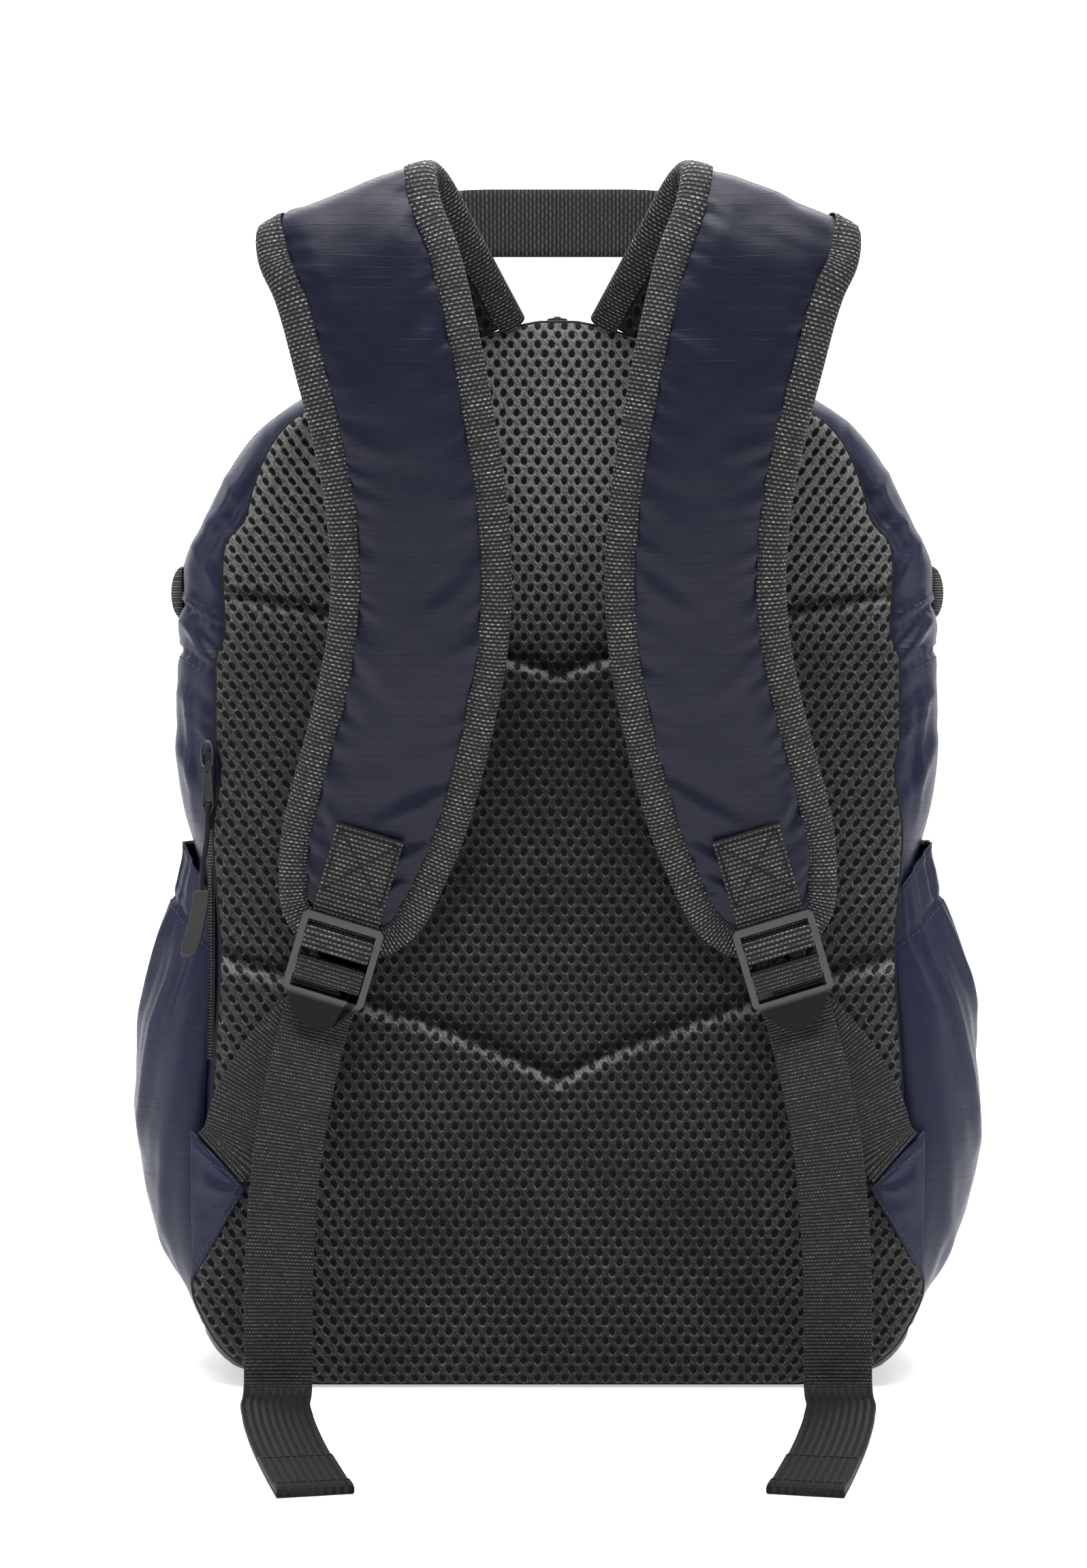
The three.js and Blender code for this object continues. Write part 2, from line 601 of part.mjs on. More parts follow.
function lowerWebbing() {
  const face = buckleThickness / 2 + 1.4 * gap + webThickness / 2;
  const behind = face + webThickness + gap;
  const [low, high] = bars.lower;
  const bend = webThickness;
  const seamTop = onPanel(wingCorners.seamTop, gap + panelEdge - panelThickness);
  const tip = onPanel(wingCorners.tip, gap);
  const edge = tip.clone().sub(seamTop);
  const wingAcross = edge.clone().normalize();
  const away = point(-wingAcross.z, 0, wingAcross.x).normalize();
  const start = seamTop.clone().lerp(tip, 0.52).addScaledVector(away, 1.5 * gap)
    .add(point(0, -wingThickness / 2 - 2, 0));
  const back = inBuckle(0, high + webPastBar, -behind - 4 * gap);
  const first = start.clone().addScaledVector(away, 6);
  const rising = [0, 0.22, 0.4, 0.6, 0.8].map((share) => {
    const arch = webBow * Math.sin(Math.PI * share);
    return {
      at: first.clone().lerp(back, share).add(point(-arch, 0, 0.4 * arch)),
      across: wingAcross.clone().lerp(buckleAcross, share),
    };
  });
  const fixed = [{ at: start, across: wingAcross }, ...rising];
  const round = [
    [high + webPastBar, -behind - 4 * gap], [high + 1.5, -behind - gap], [low - bend + 1, -face - 0.8],
    [low - bend + 0.3, -face + 0.6], [low - bend + 0.3, face - 1], [low + 0.3, face],
    [high - 0.3, face], [high + bend - 0.3, face - 1], [high + bend - 0.3, 1 - face],
    [high + bend + 0.9, -face], [bars.tab[1], -face], [buckleLength + buckleTongue, -face],
  ].map(([l, n]) => ({ at: inBuckle(0, l, n), across: buckleAcross.clone() }));
  const level = point(1, 0, 0);
  const hang = tailHang.map(([out, forward, height], k) => ({
    at: point(-out * halfWidth, panelFront - forward * panelThickness, height * bagHeight),
    across: buckleAcross.clone().lerp(level, Math.min(1, (k + 1) / 3)),
  }));
  const foot = hang[hang.length - 1].at;
  const turn = [0.3, 0.65, 1].map((share) => {
    const angle = (Math.PI / 2) * share;
    return {
      at: point(foot.x, foot.y - tailBend * (1 - Math.cos(angle)),
        (webThickness + gap) / 2 + tailBend * (1 - Math.sin(angle))),
      across: level.clone(),
    };
  });
  const landed = turn[turn.length - 1].at;
  const floor = floorRun.map(([share, thick]) => {
    return {
      at: point(landed.x + tailSwing * share ** 1.3, landed.y - tailOnFloor * share, (thick + gap) / 2),
      across: point(1, (1.3 * tailSwing * share ** 0.3) / tailOnFloor, 0).normalize(),
      thick,
    };
  });
  const stations = [...fixed, ...round, ...hang, ...turn, ...floor]
    .map((spot) => ({ thick: webThickness, ...spot }));
  return sweep(webSection(webWidth), strip(stations));
}

// Grab handle: a strip that stands on edge over the middle, and at both ends turns flat to the
// side as it runs back and down to the seam at the top of the bag.
// Out, back, drop and turn, as shares of half of handleSpan, handleReach, the rise and a right angle.
const handleEnd = 0.98;
const handlePath = [
  [0, 0, 0, 0], [0.5, 0, 0, 0], [0.78, 0.02, 0.005, 0.02], [0.92, 0.14, 0.07, 0.18],
  [0.99, 0.4, 0.22, 0.5], [1, 0.75, 0.45, 0.8], [0.99, 0.96, 0.66, 0.96],
  [handleEnd, 1, 0.84, 1], [handleEnd, 1, 1, 1],
];

// Height of the bag's top at a place across.
function topAt(x) {
  const falling = bagOutline.slice().reverse()
    .map(([height, width]) => [width * halfWidth, height * bagHeight]);
  return read(falling, 1, x);
}

function grabHandle() {
  const seat = topAt((handleEnd * handleSpan) / 2) + 3 * gap;
  const side = (sign) => handlePath.map(([out, back, drop, turn]) => {
    const angle = (turn * Math.PI) / 2;
    return {
      at: point((sign * out * handleSpan) / 2, backPlane - handleForward + back * handleReach,
        mix(handleRise, seat, drop)),
      across: point(-sign * 0.12 * Math.sin(angle), Math.sin(angle), Math.cos(angle)).normalize(),
      thick: handleThickness,
    };
  });
  return sweep(webSection(webWidth), strip([...side(-1).reverse(), ...side(1).slice(1)]));
}

// Side zip beside the panel, on the left, with its slider, puller, cord and grip.
const sideZipLow = -(panelWidth / 2) * 0.942 - gap - sideZipWidth;

function sideZip() {
  const strand = bagBody(gap + sideZipThickness).subtract(bagBody(gap));
  return fromManifold(strand.intersect(box(point(sideZipLow, -farOut, sideZipBottom),
    point(sideZipLow + sideZipWidth, backPlane + backTuckDepth / 2, sideZipTop))));
}

const pullX = sideZipLow + sideZipWidth / 2;
const sideSliderWidth = sideZipWidth + 1;
const sliderMiddle = sideZipTop - sideSliderBelowTop;

// Where the face of the side zip is, front to back, at a place across.
function zipFaceAt(x, z) {
  const corner = ringAt(z, gap + sideZipThickness).slice(0, cornerSteps + 1).map(({ at }) => [-at.x, at.y]);
  return read(corner, 1, -x);
}
const pullY = Math.min(...[-1, 1].map(
  (end) => zipFaceAt(pullX + sideSliderWidth / 2, sliderMiddle + (end * sliderLength) / 2))) - gap / 2;

function roundedPlate(width, length, thickness, holes) {
  const shape = new THREE.Shape();
  const r = width / 2;
  shape.absarc(0, length / 2 - r, r, 0, Math.PI, false);
  shape.absarc(0, r - length / 2, r, Math.PI, 2 * Math.PI, false);
  shape.closePath();
  for (const [at, radius] of holes) {
    const hole = new THREE.Path();
    hole.absarc(0, at, radius, 0, 2 * Math.PI, true);
    shape.holes.push(hole);
  }
  return new THREE.ExtrudeGeometry(shape, { depth: thickness, bevelEnabled: false, curveSegments: 6 });
}

// Slider body, flat side down, with a headed stud that a puller hangs on.
function zipSlider(width, pullThickness) {
  const body = roundedPlate(width, sliderLength, sliderHeight, []);
  const reach = pullThickness + 2 * gap;
  const stud = new THREE.CylinderGeometry(studRadius, studRadius, reach + sliderHeight, 12);
  const head = new THREE.CylinderGeometry(2.4 * studRadius, 2.4 * studRadius, 0.8, 12);
  stud.rotateX(Math.PI / 2).translate(0, 0, (reach + sliderHeight) / 2 + 0.2);
  head.rotateX(Math.PI / 2).translate(0, 0, sliderHeight + reach + 0.4);
  return fromManifold([stud, head].reduce((sum, piece) => sum.add(toManifold(piece)), toManifold(body)));
}

const sideZipSlider = () => zipSlider(sideSliderWidth, pullerThickness)
  .rotateX(Math.PI / 2).translate(pullX, pullY, sliderMiddle);

function sideZipPuller() {
  const plate = roundedPlate(pullerWidth, pullerLength, pullerThickness, [
    [pullerWidth / 2 - pullerLength / 2, pullerHole],
    [pullerLength / 2 - pullerWidth / 2, studRadius + gap]]);
  plate.rotateX(Math.PI / 2);
  return plate.translate(pullX, pullY - sliderHeight - gap,
    sliderMiddle - pullerLength / 2 + pullerWidth / 2);
}

// The cord's route in millimetres, from the grip up, through the puller's hole and down its front.
const cordRoute = [
  [-149.6, -74.5, 209.6], [-149.4, -74.5, 216], [-148.6, -74.3, 223], [-147.6, -74.1, 230],
  [-147.2, -74, 236], [-147.2, -74, 241], [-147.2, -73.2, 245], [-147.2, -71.3, 245.8],
  [-147.2, -69.3, 245], [-147.2, -68.6, 241], [-147.2, -68.6, 235],
];

function zipCord() {
  const circle = new THREE.Shape();
  circle.absarc(0, 0, cordDiameter / 2, 0, 2 * Math.PI, false);
  const route = new THREE.CatmullRomCurve3(cordRoute.map(([x, y, z]) => point(x, y, z)));
  return new THREE.ExtrudeGeometry(circle, { extrudePath: route, steps: 16, curveSegments: 4 });
}

function zipCordEnd() {
  const [x, y, z] = cordRoute[0];
  const widths = [[0, 0.5], [0.04, 0.92], [0.45, 1], [0.85, 1.05], [0.95, 0.8], [1, 0.45]];
  const frames = widths.map(([share, width]) => ({
    at: point(x - 6 * share ** 1.6, y, z - gap - gripLength * share),
    across: point(1, 0, 0), up: point(0, 1, 0), width,
  }));
  const corners = [
    [-1, -0.55], [-0.6, -1], [0.6, -1], [1, -0.55], [1, 0.55], [0.6, 1], [-0.6, 1], [-1, 0.55],
  ];
  const section = ({ width }) => corners.map(
    ([u, v]) => [(u * width * gripWidth) / 2, (v * Math.min(1, width) * gripThickness) / 2]);
  return sweep(section, frames);
}

// Slider and puller of the main zip, on the middle of the top.
const mainSliderBase = bagHeight + zipCoilHeight + gap;

const mainZipSlider = () => zipSlider(sliderWidth, mainPullThickness)
  .rotateZ(Math.PI / 2).translate(0, zipLine, mainSliderBase);

function mainZipPuller() {
  const plate = roundedPlate(mainPullWidth, mainPullLength, mainPullThickness,
    [[mainPullWidth / 2 - mainPullLength / 2, studRadius + gap]]);
  return plate.translate(0, zipLine + (mainPullLength - mainPullWidth) / 2,
    mainSliderBase + sliderHeight + gap);
}

const group = new THREE.Group();
const colours = {
  ripstop: [0x383b4c, 0.62, 0], mesh: [0x242424, 0.95, 0], tape: [0x2c2c2c, 0.85, 0],
  webbing: [0x262626, 0.85, 0], plastic: [0x232323, 0.5, 0], rubber: [0x242424, 0.8, 0],
  metal: [0x3a3a3c, 0.35, 0.9], zip: [0x1a1a1c, 0.6, 0], cord: [0x202020, 0.8, 0],
};

function add(name, geometry, slot) {
  const [color, roughness, metalness] = colours[slot];
  const mesh = new THREE.Mesh(geometry, new THREE.MeshStandardMaterial({ color, roughness, metalness }));
  mesh.name = name;
  group.add(mesh);
}

function addPair(name, leftGeometry, slot) {
  add(`${name}_left`, leftGeometry, slot);
  add(`${name}_right`, mirrored(leftGeometry.index ? leftGeometry : mergeVertices(leftGeometry)), slot);
}

add('bag_shell', bagShell(), 'ripstop');
add('back_panel', backPanel(), 'mesh');
add('main_zip', mainZip(), 'zip');
add('main_zip_slider', mainZipSlider(), 'metal');
add('main_zip_puller', mainZipPuller(), 'rubber');
addPair('zip_end_tab', mirrored(mergeVertices(zipEndTab())), 'tape');
addPair('side_pocket', sidePocket(), 'ripstop');
addPair('wing', wing(), 'ripstop');
addPair('strap_pad', strapPad(), 'ripstop');
addPair('strap_binding', strapBinding(), 'tape');
addPair('strap_webbing', strapWebbing(), 'webbing');
addPair('ladder_lock', ladderLock(), 'plastic');
addPair('lower_webbing', lowerWebbing(), 'webbing');
add('grab_handle', grabHandle(), 'webbing');
add('side_zip', sideZip(), 'zip');
add('side_zip_slider', sideZipSlider(), 'metal');
add('side_zip_puller', sideZipPuller(), 'metal');
add('zip_cord', zipCord(), 'cord');
add('zip_cord_end', zipCordEnd(), 'rubber');

export default group;
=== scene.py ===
# %% [markdown]
# A ripstop day pack stands on its base with its shoulder straps towards us. The real one is cut
# from thin coated cloth, so almost everything we look at is a soft sheet with seams, gathers and
# small folds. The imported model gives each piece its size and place, and this script gives it a
# fine surface: cloth that swells between its seams, woven tape, moulded plastic and mesh.

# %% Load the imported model
import math
import bmesh
import bpy
import numpy as np
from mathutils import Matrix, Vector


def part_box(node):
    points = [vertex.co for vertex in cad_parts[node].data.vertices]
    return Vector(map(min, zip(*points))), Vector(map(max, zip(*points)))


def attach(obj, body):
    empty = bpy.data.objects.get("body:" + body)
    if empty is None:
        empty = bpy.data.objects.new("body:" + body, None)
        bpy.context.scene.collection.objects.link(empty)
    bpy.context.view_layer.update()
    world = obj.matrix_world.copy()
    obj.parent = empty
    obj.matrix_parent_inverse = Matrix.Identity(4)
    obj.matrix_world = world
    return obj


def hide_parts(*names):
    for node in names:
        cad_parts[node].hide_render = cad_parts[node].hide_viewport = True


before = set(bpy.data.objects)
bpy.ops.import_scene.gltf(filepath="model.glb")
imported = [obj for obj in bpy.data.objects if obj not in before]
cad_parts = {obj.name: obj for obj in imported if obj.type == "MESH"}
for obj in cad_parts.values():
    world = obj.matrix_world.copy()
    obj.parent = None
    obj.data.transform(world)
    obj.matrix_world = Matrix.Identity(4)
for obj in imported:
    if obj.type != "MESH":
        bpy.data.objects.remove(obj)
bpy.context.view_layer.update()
print("packed nodes:", len(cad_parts))

# %% [markdown]
# The camera comes first. It looks level at the middle of the pack from 1.2 m, which a photographer
# does to keep the sides of a bag upright. A longer lens would flatten the straps, and a shorter one
# would make them too big, so the lens follows from the height that the picture covers.

# %% Camera
STAND_BACK = 1.2
PICTURE_HEIGHT = 0.6577
camera_data = bpy.data.cameras.new("camera")
camera_data.sensor_fit = "VERTICAL"
camera_data.sensor_height = 24
camera_data.lens = camera_data.sensor_height * STAND_BACK / PICTURE_HEIGHT
camera = bpy.data.objects.new("camera", camera_data)
camera.location = (-0.006, -0.076 - STAND_BACK, 0.254)
camera.rotation_euler = (math.radians(90), 0, 0)
bpy.context.scene.collection.objects.link(camera)
bpy.context.scene.camera = camera
print("lens:", round(camera_data.lens, 2), "mm")

# %% [markdown]
# Shapes are worked out in millimetres with arrays of points. A table of a few chosen values says
# how a form changes along its length, and a monotone cubic curve runs through them: it is smooth
# and never overshoots, as a plain spline would, so a bag never gets a bulge that nobody chose.

# %% Curves through tables
def through(table, column, at):
    """Smooth value of a table's column at the places at, without overshoot."""
    rows = np.asarray(table, float)
    x, y = rows[:, 0], rows[:, column]
    step = np.diff(x)
    slope = np.diff(y) / step
    tangent = np.zeros_like(y)
    same = slope[:-1] * slope[1:] > 0
    before, after = 2 * step[1:] + step[:-1], step[1:] + 2 * step[:-1]
    blend = (before + after) / (before / np.where(same, slope[:-1], 1) + after / np.where(same, slope[1:], 1))
    tangent[1:-1] = np.where(same, blend, 0)
    tangent[0], tangent[-1] = slope[0], slope[-1]
    at = np.clip(at, x[0], x[-1])
    k = np.clip(np.searchsorted(x, at) - 1, 0, len(x) - 2)
    h = step[k]
    t = (at - x[k]) / h
    return ((2 * t**3 - 3 * t**2 + 1) * y[k] + (t**3 - 2 * t**2 + t) * h * tangent[k]
            + (3 * t**2 - 2 * t**3) * y[k + 1] + (t**3 - t**2) * h * tangent[k + 1])


def unit(vectors):
    return vectors / np.maximum(np.linalg.norm(vectors, axis=-1, keepdims=True), 1e-9)


def grid_of(*parts):
    """Coordinates stacked into points, where a part may also be one number for all."""
    return np.stack(np.broadcast_arrays(*parts), -1)


def run_of(points):
    """How far along a line each of its points is."""
    return np.concatenate([[0], np.cumsum(np.linalg.norm(np.diff(points, axis=0), axis=1))])


def read_off(at, run, values):
    """Values given along a run, read at other places by straight steps between them."""
    return np.column_stack([np.interp(at, run, values[:, k]) for k in range(values.shape[1])])


def flip_for(side):
    """What turns places worked out for the left side, -1, into places on either side."""
    return np.array([-side, 1.0, 1.0])


def circle(radius, count):
    angle = np.linspace(0, 2 * math.pi, count + 1)[:-1]
    return np.stack([radius * np.cos(angle), radius * np.sin(angle)], -1)


SIDE_NAME = {-1: "left", 1: "right"}


def noise(points, size, seed):
    """Smooth random relief from about -1 to 1, with lumps of that size."""
    table = np.random.default_rng(seed).uniform(-1, 1, 4096)
    spot = np.asarray(points, float) / np.asarray(size, float)
    cell = np.floor(spot).astype(int)
    part = spot - cell
    part = part**3 * (part * (6 * part - 15) + 10)
    total = 0
    for corner in np.ndindex(2, 2, 2):
        at = cell + corner
        pick = (at[..., 0] * 73856093 ^ at[..., 1] * 19349663 ^ at[..., 2] * 83492791) % 4096
        weight = np.prod(np.where(corner, part, 1 - part), axis=-1)
        total = total + table[pick] * weight
    return total


def crease(across, up, start, end, width):
    """A fold along a line: 1 on its crest, with the dip that pulled cloth has along one side."""
    (x0, y0), (x1, y1) = start, end
    length = math.hypot(x1 - x0, y1 - y0)
    along = ((across - x0) * (x1 - x0) + (up - y0) * (y1 - y0)) / length**2
    off = ((across - x0) * (y1 - y0) - (up - y0) * (x1 - x0)) / length
    fade = np.sin(np.pi * np.clip(along, 0, 1)) ** 0.7
    return fade * (np.exp(-(off / width) ** 2) - 0.6 * np.exp(-((off - 1.4 * width) / width) ** 2))


print("table test:", through([[0, 0], [1, 2], [3, 4]], 1, np.array([0.5, 2.0])).round(3))

# %% [markdown]
# Every piece is a mesh made from such points. Its vertices also keep their place on the flat cloth,
# in metres, in an attribute called cloth. The weave is drawn from that place, so it follows the
# cloth round a bend as real yarns do, and it needs no unwrapping.

# %% Meshes from grids of points
MM = 0.001
BAG_HEIGHT, BAG_WIDTH, BAG_DEPTH = 450, 330, 150
BACK_PLANE = -0.44 * BAG_DEPTH
PIECES = []


def quads(rows, columns, start=0, closed=False):
    """Faces of a grid of points; closed joins the last column to the first."""
    r, c = np.meshgrid(np.arange(rows - 1), np.arange(columns if closed else columns - 1), indexing="ij")
    here, right = r * columns + c, r * columns + (c + 1) % columns
    return np.stack([here, right, right + columns, here + columns], -1).reshape(-1, 4) + start


def in_scene(name, data):
    """An object of that data, linked to the scene."""
    made = bpy.data.objects.new(name, data)
    bpy.context.scene.collection.objects.link(made)
    return made


def piece(name, points, faces, finish, nodes=(), cloth=None, mirror=False):
    """Makes one piece from points in millimetres, lets it ride, and hides the imported nodes it stands for."""
    points = np.asarray(points, float).reshape(-1, 3).copy()
    if mirror:
        points[:, 0] *= -1
    mesh = bpy.data.meshes.new(name)
    mesh.from_pydata((points * MM).tolist(), [], [list(map(int, f)) for f in faces])
    flat = points if cloth is None else np.asarray(cloth, float).reshape(-1, 3)
    attribute = mesh.attributes.new("cloth", "FLOAT_VECTOR", "POINT")
    attribute.data.foreach_set("vector", (flat * MM).astype(np.float32).ravel())
    skin = bmesh.new()
    skin.from_mesh(mesh)
    bmesh.ops.recalc_face_normals(skin, faces=skin.faces)
    skin.to_mesh(mesh)
    skin.free()
    mesh.shade_smooth()
    made = in_scene(name, mesh)
    made.data.materials.append(finish)
    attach(made, "root")
    if nodes:
        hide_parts(*nodes)
    PIECES.append(made)
    return made


def sheet_faces(rows, columns):
    """Faces of a thin closed slab: a front grid of points, then a back grid of as many."""
    count = rows * columns
    grid = np.arange(count).reshape(rows, columns)
    rim = np.concatenate([grid[0, :-1], grid[:-1, -1], grid[-1, :0:-1], grid[:0:-1, 0]])
    after = np.roll(rim, -1)
    sides = np.stack([rim, rim + count, after + count, after], -1)
    return np.concatenate([quads(rows, columns), quads(rows, columns, count)[:, ::-1], sides])


def slab(name, front, back, cloth, finish, slot, nodes, side=-1):
    """A thin closed piece between two grids of points that lie on one flat cloth."""
    return piece(name, [front, back], sheet_faces(*cloth.shape[:2]), finish, nodes,
                 [cloth, cloth], mirror=side > 0)


def sweep(section, at, across, up, closed_ends=True):
    """Carries a closed section through frames. Returns points, faces and how far along each ring is."""
    rings = at[:, None] + section[..., 0:1] * across[:, None] + section[..., 1:2] * up[:, None]
    rows, count = rings.shape[:2]
    faces = quads(rows, count, closed=True).tolist()
    if closed_ends:
        faces += [list(range(count))[::-1], list(range((rows - 1) * count, rows * count))]
    return rings, faces, run_of(at)


def resample(at, step):
    """Even steps along a smooth curve through the points, and how far along each of them is."""
    at = np.asarray(at, float)
    run = run_of(at)
    even = np.linspace(0, run[-1], max(4, int(run[-1] / step)))
    table = np.column_stack([run, at])
    return np.column_stack([through(table, k, even) for k in range(1, at.shape[1] + 1)]), even


print("ready to make pieces")

# %% [markdown]
# A finish is a node tree. To keep it readable, its maths is written as plain Python: a Wire is one
# socket, and adding or multiplying wires adds the Math nodes. So a staggered pattern reads like its
# formula. Every other node comes from one method that sets it up and feeds its sockets.

# %% Wires and finishes
class Wire:
    """One output socket that can stand in a formula."""

    def __init__(self, finish, socket):
        self.finish, self.socket = finish, socket

    def maths(self, operation, *others):
        return self.finish.add("ShaderNodeMath", {"operation": operation}, dict(enumerate((self, *others))))

    def __add__(self, other): return self.maths("ADD", other)
    def __radd__(self, other): return self.maths("ADD", other)
    def __sub__(self, other): return self.maths("SUBTRACT", other)
    def __rsub__(self, other): return (self * -1).maths("ADD", other)
    def __mul__(self, other): return self.maths("MULTIPLY", other)
    def __rmul__(self, other): return self.maths("MULTIPLY", other)
    def __truediv__(self, other): return self.maths("DIVIDE", other)
    def __pow__(self, other): return self.maths("POWER", other)


class Finish:
    """A material: constants go straight on the shader, and add makes any node."""

    def __init__(self, name, **constants):
        self.material = bpy.data.materials.new(name)
        self.material.use_nodes = True
        self.tree = self.material.node_tree
        self.shader = self.tree.nodes["Principled BSDF"]
        for socket, value in constants.items():
            self.shader.inputs[socket.replace("_", " ")].default_value = value

    def add(self, kind, settings=None, sockets=None, output=0):
        node = self.tree.nodes.new(kind)
        for key, value in (settings or {}).items():
            if key == "stops":
                ramp = node.color_ramp
                while len(ramp.elements) < len(value):
                    ramp.elements.new(0.5)
                for stop, (place, grey) in zip(ramp.elements, value):
                    stop.position, stop.color = place, (grey, grey, grey, 1)
            else:
                setattr(node, key, value)
        for key, value in (sockets or {}).items():
            self.feed(node.inputs[key], value)
        return Wire(self, node.outputs[output])

    def feed(self, socket, value):
        if isinstance(value, Wire):
            self.tree.links.new(value.socket, socket)
        else:
            socket.default_value = value

    def flat_place(self):
        """Places on the flat cloth in millimetres: across, along and the third way."""
        place = self.add("ShaderNodeAttribute", {"attribute_name": "cloth"}, output=1)
        large = self.add("ShaderNodeVectorMath", {"operation": "SCALE"}, {0: place, "Scale": 1 / MM})
        return large, [self.add("ShaderNodeSeparateXYZ", None, {0: large}, output=k) for k in range(3)]

    def grain(self, place, size, detail=2, rough=0.6, stretch=(1, 1, 1)):
        """Noise from 0 to 1 whose lumps are about size millimetres."""
        scaled = self.add("ShaderNodeVectorMath", {"operation": "MULTIPLY"},
                          {0: place, 1: tuple(s / size for s in stretch)})
        return self.add("ShaderNodeTexNoise", None,
                        {"Vector": scaled, "Scale": 1.0, "Detail": detail, "Roughness": rough})

    def ramp(self, value, stops):
        return self.add("ShaderNodeValToRGB", {"stops": stops}, {0: value})

    def blend(self, share, first, second):
        return self.add("ShaderNodeMix", {"data_type": "RGBA"}, {0: share, 6: first, 7: second}, output=2)

    def wear(self, colour, rough, height=None, depth=0.3):
        """Feeds the surface: colour, roughness and a bump of depth millimetres."""
        self.feed(self.shader.inputs["Base Color"], colour)
        self.feed(self.shader.inputs["Roughness"], rough)
        if height is not None:
            bump = self.add("ShaderNodeBump", None, {"Height": height, "Distance": depth * MM, "Strength": 1.0})
            self.feed(self.shader.inputs["Normal"], bump)
        return self.material


def rgb(*grey):
    """A colour read off a screen, 0 to 255, as the light it stands for."""
    share = [g / 255 for g in (grey * 3 if len(grey) == 1 else grey)]
    return tuple(s / 12.92 if s <= 0.04045 else ((s + 0.055) / 1.055) ** 2.4 for s in share) + (1.0,)


print("navy as light:", [round(v, 3) for v in rgb(57, 59, 73)])

# %% [markdown]
# Ripstop is a thin plain weave with a thicker yarn every four millimetres or so. The thick yarns
# stop a tear and show as a faint grid, stronger one way than the other. The cloth is coated, so it
# has a soft sheen. The grid is two thin bands of a wave, and long thin noise stands for the yarns.

# %% Ripstop finish
PITCH_UP, PITCH_ACROSS = 4.1, 4.9


def ripstop(name, tint, seed):
    f = Finish(name, Specular_IOR_Level=0.2)
    place, (across, along, _) = f.flat_place()
    wander = (f.grain(place, 45, 1) - 0.5) * 1.6
    grid = []
    for way, pitch in ((along, PITCH_UP), (across, PITCH_ACROSS)):
        wave = ((way + wander) * (math.pi / pitch)).maths("SINE").maths("ABSOLUTE")
        grid.append(f.add("ShaderNodeMapRange", {"interpolation_type": "SMOOTHSTEP"},
                          {"Value": wave, "From Min": 0.0, "From Max": 0.24, "To Min": 1.0, "To Max": 0.0}))
    broken = f.ramp(f.grain(place, 7, 2, stretch=(0.4, 1.6, 1)), [(0.38, 0.0), (0.62, 1.0)])
    lines = grid[0] * (0.35 + 0.65 * broken) + grid[1] * 0.3 * (1 - broken)
    yarns = f.grain(place, 0.7, 2, stretch=(0.12, 1, 1))
    cloudy = f.grain(place, 60 + seed, 3)
    shade = 0.82 + 0.3 * cloudy + 0.3 * (yarns - 0.5) - 0.4 * lines
    colour = f.add("ShaderNodeVectorMath", {"operation": "SCALE"}, {0: tint[:3], "Scale": shade})
    rough = 0.37 + 0.14 * yarns + 0.05 * lines
    height = yarns * 0.3 + lines * 0.28 + 0.7 * f.grain(place, 9, 2)
    return f.wear(colour, rough, height, 0.16)


BODY_CLOTH = ripstop("ripstop_body", rgb(26, 30, 50), 0)
# the straps' copy of the same ripstop is tinted darker than the body's: painted shade for the straps' darker
# look
STRAP_CLOTH_DARKENED = ripstop("ripstop_strap_darkened", rgb(16, 19, 36), 12)
print("ripstop finishes made")

# %% [markdown]
# Spacer mesh is knitted: fuzzy grey yarns run round staggered oval holes, and through each hole we
# look into the dark. Two lattices of ovals, one shifted by half a step both ways, give the holes,
# and near the panel's sides, where the mesh is pulled, the ovals slant and narrow. The nearest
# oval's distance drives the colour, the roughness and the relief together, and the lower rim of
# each hole gets a painted highlight. The third number kept on the cloth says where a seam line has
# a painted highlight just below it and painted shade just above it, and the top of the panel is
# painted lighter, as a painted pool of light from above.

# %% Air mesh finish
HOLE_ACROSS, HOLE_UP = 5.7, 8.2


